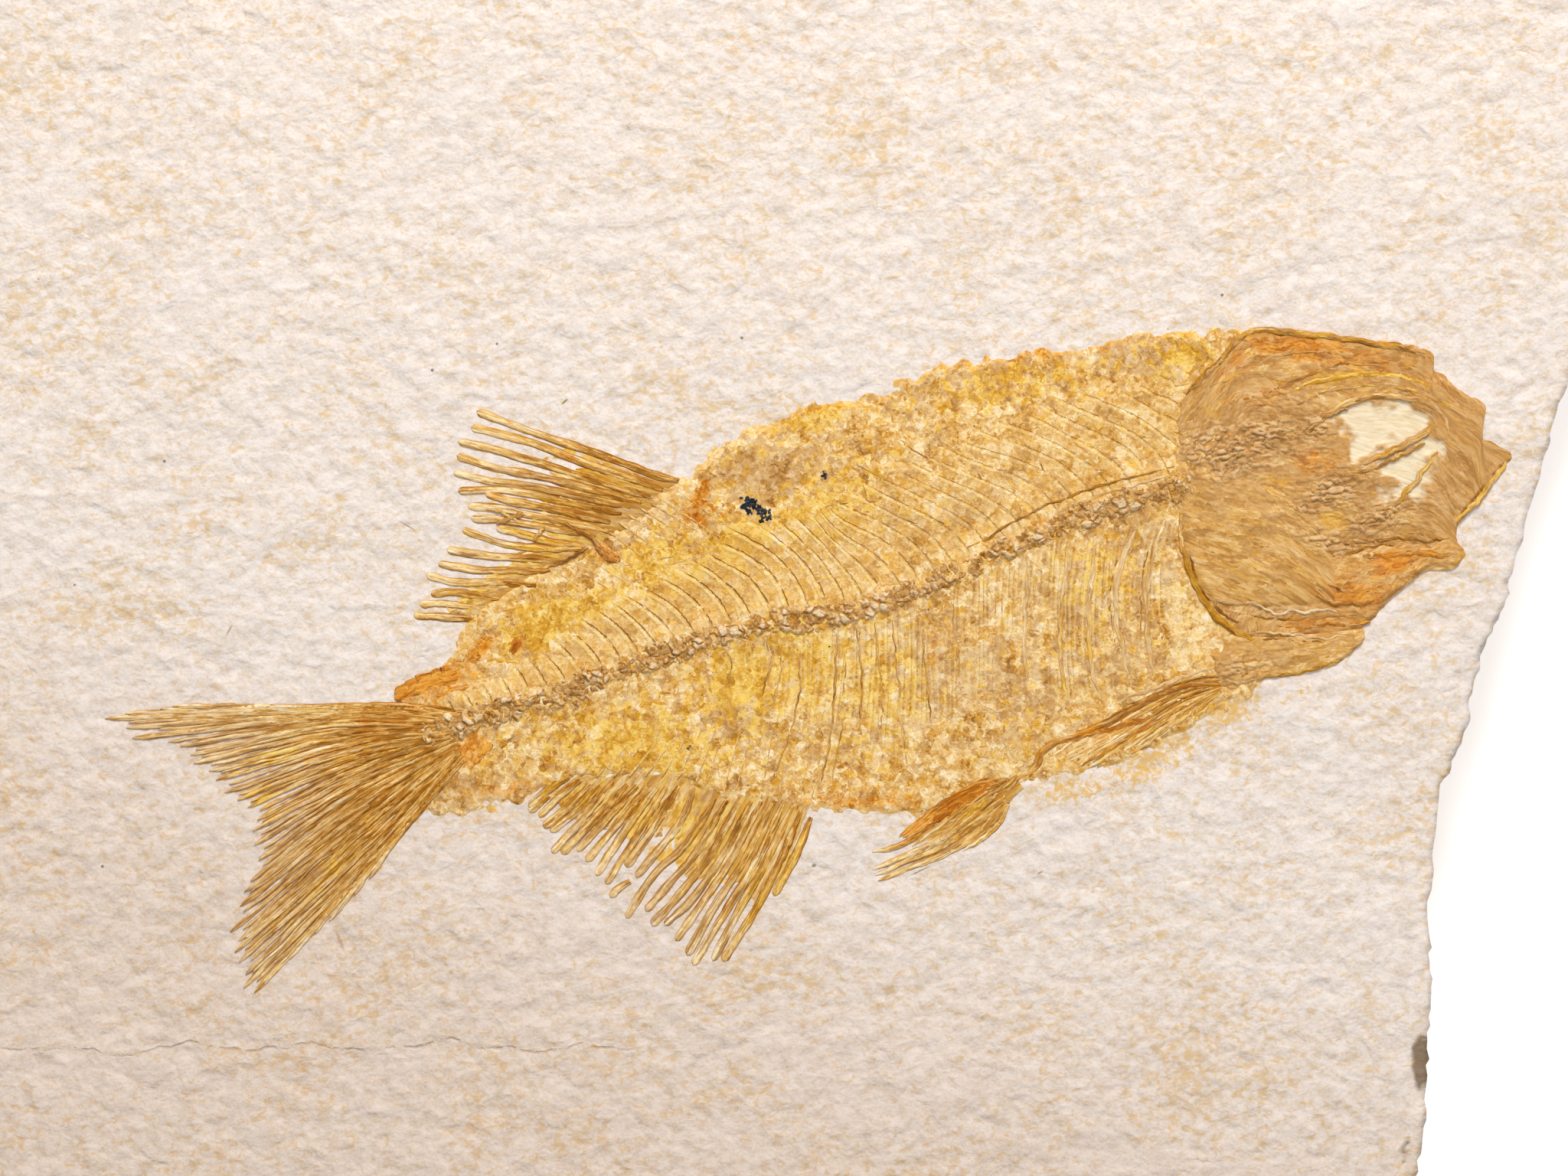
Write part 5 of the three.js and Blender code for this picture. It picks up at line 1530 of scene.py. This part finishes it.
finTints = {
    "taupe": [
        (-31, -19, 5, 5.5, 30, 1.1), (-36, -11, 6, 1.6, 0, 0.9), (-11.6, 6.2, 5, 0.9, -16, 0.6),
        (-2.5, -21.5, 5, 4, 50, 0.5), (-31, -26, 3, 3, 45, 0.5),
    ],
    "shade": [
        (-31, -18.5, 4, 4, 30, -0.03), (-12.8, -0.4, 6, 0.5, 0, 0.06), (-5.2, 6, 3.4, 1.6, -20, -0.05),
        (-23.5, -10.6, 4.5, 1.8, 8, -0.04), (-33, -11.5, 6, 2.5, 0, 0.05), (-10, 6.4, 8, 3.4, -18, -0.06),
        (0, -20, 7, 5, 0, 0.03),
    ],
    "rust": [
        (-23, -10.4, 5, 1.5, 6, 0.4), (-23, -17.2, 3.6, 1, 50, 0.35), (-27, -12.5, 3, 0.5, 10, 0.5),
        (-13, 8.6, 3, 0.3, -20, 0.5), (6.2, -18.5, 0.4, 2.4, -25, 0.3), (-15.4, 5.4, 1.2, 0.4, -15, 0.7),
        (-10.2, 8.1, 0.9, 0.35, -10, 0.7), (-9.6, 4.5, 1.6, 0.4, -10, 0.55), (-7.5, 6.9, 2, 0.4, -20, 0.35),
        (-11.4, 6.4, 1.6, 0.3, -20, 0.5), (-15.1, 3.6, 0.7, 0.4, 0, 0.5), (17.6, -15.5, 2.8, 0.7, 32, 1.1),
        (14.6, -17.4, 2.2, 0.7, 38, 1), (28, -11, 4, 0.7, 28, 0.5), (-20.5, -9.2, 3, 0.3, 0, 0.6),
        (-23.6, -9.5, 3, 0.4, 0, 0.4), (-28, -11.6, 2, 0.2, 0, 0.4), (-20.8, -11.6, 3.4, 1.6, 15, 0.2),
        (-27, -15, 4, 1, 30, 0.3), (-23, -14.6, 4, 0.5, 30, 0.4), (-22.4, -17, 2, 0.4, 45, 0.3),
        (30.5, -9, 4, 0.3, 28, 0.3),
    ],
    "yellow": [
        (-12.6, 2.6, 2.4, 0.35, -15, 1), (-12, 9.3, 3, 0.2, -20, 0.8), (-11, 5, 3.2, 0.25, -12, 0.8),
        (-13.5, 1.8, 3, 0.25, 0, 0.7), (5.3, -20.4, 0.5, 2.6, -25, 1), (3, -22, 0.3, 2.4, -30, 0.9),
        (-5.2, -17, 2.6, 0.5, 52, 0.9), (-9, -15.8, 2.4, 0.35, 45, 0.8), (-11.4, -15.2, 1.3, 0.4, 40, 0.9),
        (-1, -18.4, 2.4, 0.5, 55, 0.5), (2.4, -18.4, 2.6, 0.4, 60, 0.4), (-32, -16.2, 1.6, 1, 20, 0.9),
        (-26.4, -20.6, 4.5, 0.7, 45, 0.6), (-31.5, -28.4, 2, 0.5, 40, 0.4), (-31, -12.8, 2.6, 0.7, 10, 0.6),
        (33.5, -10.4, 2.6, 0.6, 42, 0.9), (18, -17, 2.4, 0.6, 35, 0.5), (29.5, -11.6, 3.5, 0.4, 30, 0.6),
        (3.2, -23, 0.4, 2, -28, 0.7),
    ],
}


finOverlays = {
    # node: name, height over the ground that the rays lie on, and bones lying across them, in the same order
    "dorsal_fin": ("dorsalScraps", 0.1, [
        ([(-15.2, 3.5), (-14.1, 4), (-13.2, 4.2)], 0.34, 0.1, -0.1, 0.25),
        ([(-12.6, 2.3), (-12.2, 2.8), (-11.8, 3.3)], 0.26, 0.1, -0.1, 0.1),
        ([(-11.7, 0.4), (-10.2, 1), (-8.7, 1.9)], 0.2, 0.1, -0.2),
        ([(-10.6, 3.6), (-9.2, 2.9), (-8, 2), (-7.4, 1.3)], 0.26, 0.1, -0.16, 0.3),
        ([(-8.2, 2.1), (-7.4, 1.3), (-6.6, 0.9)], 0.7, 0.08, -0.04, 0.55),
        ([(-16, 4.6), (-14.8, 4.3), (-13.6, 3.6)], 0.2, 0.1, 0, 0, 0.3),
    ]),
    "pelvic_fin": ("pelvicScale", 0.05, [
        ([(14.6, -17.9), (16.2, -16.6), (17.8, -15.7), (20, -14.5)], 1, 0.06, -0.1, 1.5),
        ([(17.4, -17.4), (18.6, -16.4), (20.2, -15.4)], 0.4, 0.08, -0.08, 0.1, 0.5),
    ]),
    "pectoral_fin": ("pectoralEdge", 0.04, [
        ([(36.6, -7.9), (35, -7.7), (33.5, -7.8), (32, -8.3), (30.5, -9), (29, -9.8), (27.5, -10.6),
          (26, -11.2), (24.2, -11.9), (23, -12.7), (22.5, -13.7), (21.6, -14.3),
          (20.9, -15.2)], 0.5, 0.1, -0.1, 0.4, 0.2),
        ([(24.6, -11.8), (26.8, -11.2), (29, -10.6), (31.3, -10)], 0.42, 0.08, -0.08, 0.5, 0.2),
        ([(25.7, -13.6), (27.4, -12.6), (29.3, -11.4),
          (31.3, -10.3), (33, -9.2)], 0.3, 0.09, -0.1, 0.45, 0.2),
        ([(28.6, -13.2), (30.4, -12), (32.4, -10.6), (34.2, -9.2)], 0.2, 0.09, 0.02, 0, 0.2, 0.2),
        ([(36.4, -7.2), (33.6, -7.4), (31, -8.5), (28.2, -9.9), (25.4, -11.2)], 0.16, 0.1, -0.22),
    ]),
}


def rayMaterial():
    # fin rays: fibres along each ray, brown edges and root, paler tips, and pale streaks that are partly
    # painted highlight
    material, kit, shader = newMaterial("fin ray", 0.74)
    along, across = kit.value("along"), kit.value("acrossMm")
    seed = kit.times(kit.value("pick"), 90)
    flow = kit.vector(kit.times(along, 0.42), kit.times(across, 2.4), seed)
    lighter = kit.band(kit.value("reach"), 0.1, 0.95, -0.14, 0.08)
    lighter = kit.timesPlus(kit.value("pick"), 0.08, lighter)
    coloured = useGroup(kit, fossilColour, {
        "Vector": flow, "Patch": 0.62, "Shade": kit.math("ADD", lighter, kit.value("shade")),
        "Taupe": kit.value("taupe"), "Rust": kit.value("rust"),
        "Yellow": kit.math("SUBTRACT", kit.value("yellow"), 0.2),
    })
    fibres = useGroup(kit, streaks, {"Along": along, "Across": across, "Offset": seed, "Fineness": 6.0})
    colour = kit.mix(kit.band(fibres["Fibre"], 0.38, 0.5, 0.7, 0.0), coloured["Color"], tone(148, 90, 14))
    # pale streaks along the fibres: partly the rays' own pale fibres and partly painted highlight
    colour = kit.mix(kit.band(fibres["Fibre"], 0.54, 0.64, 0.0, 0.45), colour, tone(246, 214, 164))
    side = kit.math("ABSOLUTE", kit.value("across"))
    edge = kit.band(kit.timesPlus(fibres["Broad"], 0.35, side), 0.68, 1.08, 0.0, 0.85)
    edge = kit.times(edge, kit.band(kit.value("reach"), 0.5, 1.0, 1.0, 0.45))
    colour = kit.mix(edge, colour, tone(150, 90, 10))
    golden = kit.band(coloured["Tone"], 0.35, 0.7, 0.9, 0.15)
    colour = kit.mix(golden, colour, tone(255, 248, 205), "MULTIPLY")
    joints = kit.math("SINE", kit.times(along, 15.0))
    height = kit.timesPlus(fibres["Fibre"], 0.1, kit.times(joints, 0.004))
    dress(kit, shader, colour, height, kit.band(coloured["Tone"], 0.3, 0.7, 0.66, 0.86))
    return material


trunkOutline = trunk["back"] + trunk["belly"][::-1]


def finGround(x, y):
    # rays rest on the stone, and on the skin film where they meet the trunk
    over = smoothRamp(insideOutline(x, y, trunkOutline), 0.2, 1.3)
    return bedHeight(x, y) + 0.02 + over * (trunkLift(x, y) - 0.04)


def unevenRays(paths, size, blunt, seed):
    # width along each ray: a little uneven, opening from the root, and at the tip a quarter circle or, where
    # the ray isn't blunt, the distance left to the power 0.6
    count, steps = paths.shape[:2]
    t = np.linspace(0, 1, steps)[None]
    k = np.arange(count)[:, None] * 7.7
    length = np.linalg.norm(np.diff(paths, axis=1), axis=2).sum(1)[:, None]
    taper = size * (0.7 if blunt else 2.4)
    capped = np.clip((1 - t) * length / taper, 0, 1)
    tipShape = np.sqrt(1 - (1 - capped) ** 2) if blunt else capped ** 0.6
    fromRoot = np.clip(t * length / 1.6, 0, 1)
    grain = roughness(t * length / 1.1, k + 0 * t, 1.0, seed, 2)
    return size * (0.55 + 0.45 * fromRoot) * (0.04 + 0.96 * tipShape) * (1 + 0.15 * grain)


def rayPiece(name, paths, widths, lifts, node):
    # rays, finer across than the other bones and tinted by where they lie
    strandPiece(
        name, paths, widths, lifts, finGround, finRay, node,
        patches=finTints, across=11, seedShift=3,
    )


def layRays(name, paths, fin, seed, node):
    # rays shivered a little, each standing highest where it is widest
    paths = shivered(paths, fin["shiver"], seed)
    widths = unevenRays(paths, fin["width"], fin["blunt"], seed + 1)
    lifts = fin["lift"] * (0.6 + 0.4 * widths / widths.max())
    rayPiece(name, paths, widths, lifts, node)


def tailLines(count, tips, steps):
    # lines fanning out from the tail's root through its middle to the tips
    roots, middles = smoothLine(tail["roots"], count), smoothLine(tail["middles"], count)
    return np.array([smoothLine([roots[k], middles[k], tips[k]], steps) for k in range(count)])


def buildFins():
    # main rays with, in some fins, finer ones half way between, and the tail's branches from half way out
    steps = 80
    for node, fin in fins.items():
        paths = np.array([smoothLine(ray, steps) for ray in fin["rays"]])
        if fin["between"]:
            paths = np.concatenate([paths, (paths[:-1] + paths[1:]) / 2])
        layRays(fin["name"], paths, fin, 91, node)
    paths = tailLines(len(tail["tips"]), np.array(tail["tips"]), steps)
    layRays("tailRays", paths, tail, 93, "tail_fin")
    # the branches lie between the rays as they are shivered, and end a little short of them
    paths = shivered(paths, tail["shiver"], 93)
    between = ((paths[:-1] + paths[1:]) / 2)[:, steps * 2 // 5:]
    share = np.linspace(0, 1, between.shape[1])[None, :, None]
    between = between - (between[:, -1:] - between[:, -2:-1]) * share * 3
    widths = unevenRays(between, tail["width"] * 0.62, False, 95)
    lifts = tail["lift"] * 0.8 + 0 * widths
    rayPiece("tailBranches", shivered(between, 0.08, 96), widths, lifts, "tail_fin")


finRay = rayMaterial()
buildFins()
for finNode, (name, rise, rows) in finOverlays.items():
    handSetStrands(name, rows, finGround, finNode, rise)


# Fin webs.
def webMaterial():
    # pale film, browner near the roots of the rays, partly with painted shade between them, and
    # stone-coloured at its outer border
    material, kit, shader = newMaterial("fin web", 0.86)
    flow = kit.vector(
        kit.times(kit.value("flowAlong"), 0.4), kit.times(kit.value("flowAcross"), 2.2), 3.0
    )
    coloured = useGroup(kit, fossilColour, {
        "Vector": flow, "Patch": 0.7, "Shade": 0.02, "Taupe": 0.1, "Yellow": 0.3, "Pale": 0.34,
    })
    # browner at the root: partly the web's own colour and partly painted shade between the rays' roots
    root = kit.band(kit.value("flowAlong"), 0.5, 6.0, 0.8, 0.0)
    colour = kit.mix(kit.times(root, kit.value("deep")), coloured["Color"], tone(166, 106, 30))
    colour = kit.mix(kit.band(kit.value("rim"), 0.0, 0.8, 0.75, 0.0), colour, tone(240, 222, 198))
    dress(kit, shader, colour, kit.times(coloured["Tone"], 0.08))
    return material


webs = {
    # node: name, share of the rays' length that the web covers, and how brown it is at the root, partly its
    # own colour and partly painted shade between the rays
    "dorsal_fin": ("dorsalWeb", 0.66, 0.6), "anal_fin": ("analWeb", 0.8, 0.25),
    "pelvic_fin": ("pelvicWeb", 0.8, 0.5), "pectoral_fin": ("pectoralWeb", 0.8, 0.4),
    "tail_fin": ("tailWeb", 0.8, 0.9),
}


def webSheet(name, lines, reach, deep, material, node):
    # thin sheet drawn straight from each ray's line to the next, a hair over the stone and sunk in it at its
    # uneven outer border
    rows, cols = 150, 110
    at = np.linspace(0, 1, lines.shape[1])
    across = np.linspace(0, len(lines) - 1, cols)
    low = np.clip(np.floor(across).astype(int), 0, len(lines) - 2)
    share = (across - low)[:, None, None]
    sheet = lines[low] * (1 - share) + lines[low + 1] * share
    pick = np.linspace(0, reach, rows)
    grid = np.array([[np.interp(pick, at, one[:, axis]) for axis in (0, 1)] for one in sheet])
    grid = grid.transpose(2, 0, 1)
    x, y = grid[..., 0], grid[..., 1]
    v = np.linspace(0, 1, rows)[:, None] + 0.16 * roughness(x, y, 1.1, 97, 3)
    u = np.linspace(0, 1, cols)[None]
    rim = (1 - smoothRamp(v, 0.7, 0.98)) * smoothRamp(np.minimum(u, 1 - u), 0, 0.03)
    top = bedHeight(x, y) + 0.035 * rim - 0.1 * (1 - rim) + 0.02 * roughness(x, y, 0.5, 98, 2)
    fields = {
        "flowAlong": np.linspace(0, 1, rows)[:, None] * 8 + 0 * x,
        "flowAcross": u * len(lines) * 0.6 + 0 * x, "rim": rim, "deep": deep + 0 * x,
    }
    platePiece(name, grid, top, bedTop - 0.8, fields, material, node)


def buildWebs():
    # the tail's web has an even fan of lines; the others follow their longer rays, drawn on into the trunk
    steps, tailCount, shortest = 60, 12, 1.8
    material = webMaterial()
    for node, (name, reach, deep) in webs.items():
        if node == "tail_fin":
            picked = np.linspace(0, len(tail["tips"]) - 1, tailCount).astype(int)
            lines = tailLines(tailCount, np.array(tail["tips"])[picked], steps)
        else:
            rays = [ray for ray in fins[node]["rays"] if math.dist(ray[0], ray[-1]) > shortest]
            lines = np.array([smoothLine(ray, steps) for ray in rays])
            inner = (lines[:, :1] - lines[:, 4:5]) * np.linspace(2.4, 0.2, 8)[None, :, None]
            lines = np.concatenate([lines[:, :1] + inner, lines], axis=1)
        webSheet(name, lines, reach, deep, material, node)


buildWebs()


# Mineral speck.
specks = {
    # (x, y, radius) of each cluster
    "grains": [
        (2.35, 5, 0.36), (2.75, 4.75, 0.4), (2.2, 4.65, 0.26), (3, 5.05, 0.22), (3.15, 4.55, 0.26),
        (3.5, 4.3, 0.36), (3.85, 4, 0.3), (3.6, 3.85, 0.24), (2.55, 4.4, 0.22), (3.95, 4.4, 0.18),
        (7.8, 7, 0.2), (7.95, 6.85, 0.14), (-1.7, -12.2, 0.12), (8.2, -5.1, 0.08),
    ],
    "perGrain": 9,
    "seed": 21,
    "facet": 2.6,  # steps to a radius that a ball's points are rounded to
}


def mineralMaterial():
    # blue-black crystals with a grey glint
    material, kit, shader = newMaterial("black mineral", 0.5)
    place = kit.place()
    tint = kit.noise(place, 3.5, 4, 0.65)
    colour = kit.ramp(tint, [
        (0.35, tone(16, 18, 24)), (0.55, tone(44, 50, 62)), (0.75, tone(120, 126, 134)),
    ])
    height = kit.times(kit.noise(place, 7.0, 3, 0.6), 0.06)
    dress(kit, shader, colour, height, kit.band(tint, 0.35, 0.65, 0.35, 0.7))
    return material


def buildSpecks():
    # clusters of small crystals, half sunk in the film: balls with each point pulled towards the nearest
    # corner of a coarse lattice, then stretched at random
    rng = np.random.default_rng(specks["seed"])
    turn = np.linspace(0, 2 * math.pi, 18, endpoint=False)[None]
    tilt = np.linspace(0, math.pi, 11)[1:-1, None]
    radius = np.sin(tilt)
    unit = np.stack([radius * np.cos(turn), radius * np.sin(turn), np.cos(tilt) + 0 * turn], axis=-1)
    unit = np.vstack([unit.reshape(-1, 3), [[0, 0, 1]], [[0, 0, -1]]])
    centres = np.repeat(np.array(specks["grains"]), specks["perGrain"], axis=0)
    jitter = rng.normal(size=(len(centres), 2)) * centres[:, 2:] * 0.55
    size = centres[:, 2] * rng.uniform(0.16, 0.5, len(centres))
    stretch = rng.uniform(0.55, 1.35, (len(centres), 3)) * (1, 1, 0.5)
    knocked = unit[None] + rng.uniform(-0.12, 0.12, (len(centres), len(unit), 3))
    facet = np.round(knocked * specks["facet"]) / specks["facet"]
    shape = (unit[None] * 0.55 + facet * 0.45) * stretch[:, None] * size[:, None, None]
    x, y = centres[:, 0] + jitter[:, 0], centres[:, 1] + jitter[:, 1]
    base = np.stack([x, y, trunkTop(x, y) + 0.02], axis=-1)
    points = base[:, None] + shape
    offset = np.arange(len(centres))[:, None, None] * len(unit)
    faces = []
    for part in ringFaces(len(tilt), turn.shape[1]):
        faces += (part[None] + offset).reshape(-1, part.shape[1]).tolist()
    putMesh("blackCrystals", points, faces, {}, mineralMaterial(), "mineral_speck")


buildSpecks()


# Light, floor and camera.
studio = {
    "floorSize": 3,
    "floorGlow": 0.4,
    "roomLight": 0.5,
    "lights": [
        # (name, place in metres, size, power, colour)
        ("keyLight", (0.03, 0.36, 0.3), (0.14, 0.14), 1.85, (1.0, 0.985, 0.965)),
        ("fillLight", (0.5, -0.4, 0.6), (0.5, 0.5), 0.8, (1, 1, 1)),
    ],
}
pureWhite = (1, 1, 1, 1)


def softLight(name, place, size, power, tint):
    # a square lamp turned to the middle of the slab
    light = bpy.data.lights.new(name, "AREA")
    light.shape = "RECTANGLE"
    light.size, light.size_y = size
    light.energy = power
    light.color = tint
    lamp = bpy.data.objects.new(name, light)
    lamp.location = place
    lamp.rotation_euler = (-lamp.location).to_track_quat("-Z", "Y").to_euler()
    bpy.context.scene.collection.objects.link(lamp)


def buildStudio():
    # pale floor that glows a little, an evenly bright room and two lamps
    bpy.ops.mesh.primitive_plane_add(size=studio["floorSize"])
    floor = bpy.context.object
    floor.name = "studioFloor"
    material, kit, shader = newMaterial("pale floor", 0.9)
    kit.feed(shader.inputs["Base Color"], tone(252, 251, 250))
    kit.feed(shader.inputs["Emission Color"], pureWhite)
    kit.feed(shader.inputs["Emission Strength"], studio["floorGlow"])
    floor.data.materials.append(material)
    world = bpy.data.worlds.new("softRoom")
    world.use_nodes = True
    background = world.node_tree.nodes["Background"].inputs
    background["Color"].default_value = pureWhite
    background["Strength"].default_value = studio["roomLight"]
    bpy.context.scene.world = world
    for light in studio["lights"]:
        softLight(*light)
    bpy.context.scene.view_settings.view_transform = "Standard"
    print("studio:", len(studio["lights"]), "lights")


camera = {
    "aim": (5.0, -1.0),       # middle of the view, on the slab's face
    "windowWidth": 110.1,     # what the view spans there
    "distance": 340.0,
    "lens": 100.0,
}


def buildCamera():
    # looks straight down on the slab's face from its distance, with the sensor that spans the window there
    shot = bpy.data.cameras.new("macro")
    eye = bpy.data.objects.new("macro", shot)
    eye.location = (camera["aim"][0] * mm, camera["aim"][1] * mm, (bedTop + camera["distance"]) * mm)
    shot.lens = camera["lens"]
    shot.sensor_width = camera["lens"] * camera["windowWidth"] / camera["distance"]
    shot.clip_start = 0.01
    bpy.context.scene.collection.objects.link(eye)
    bpy.context.scene.camera = eye


buildStudio()
buildCamera()
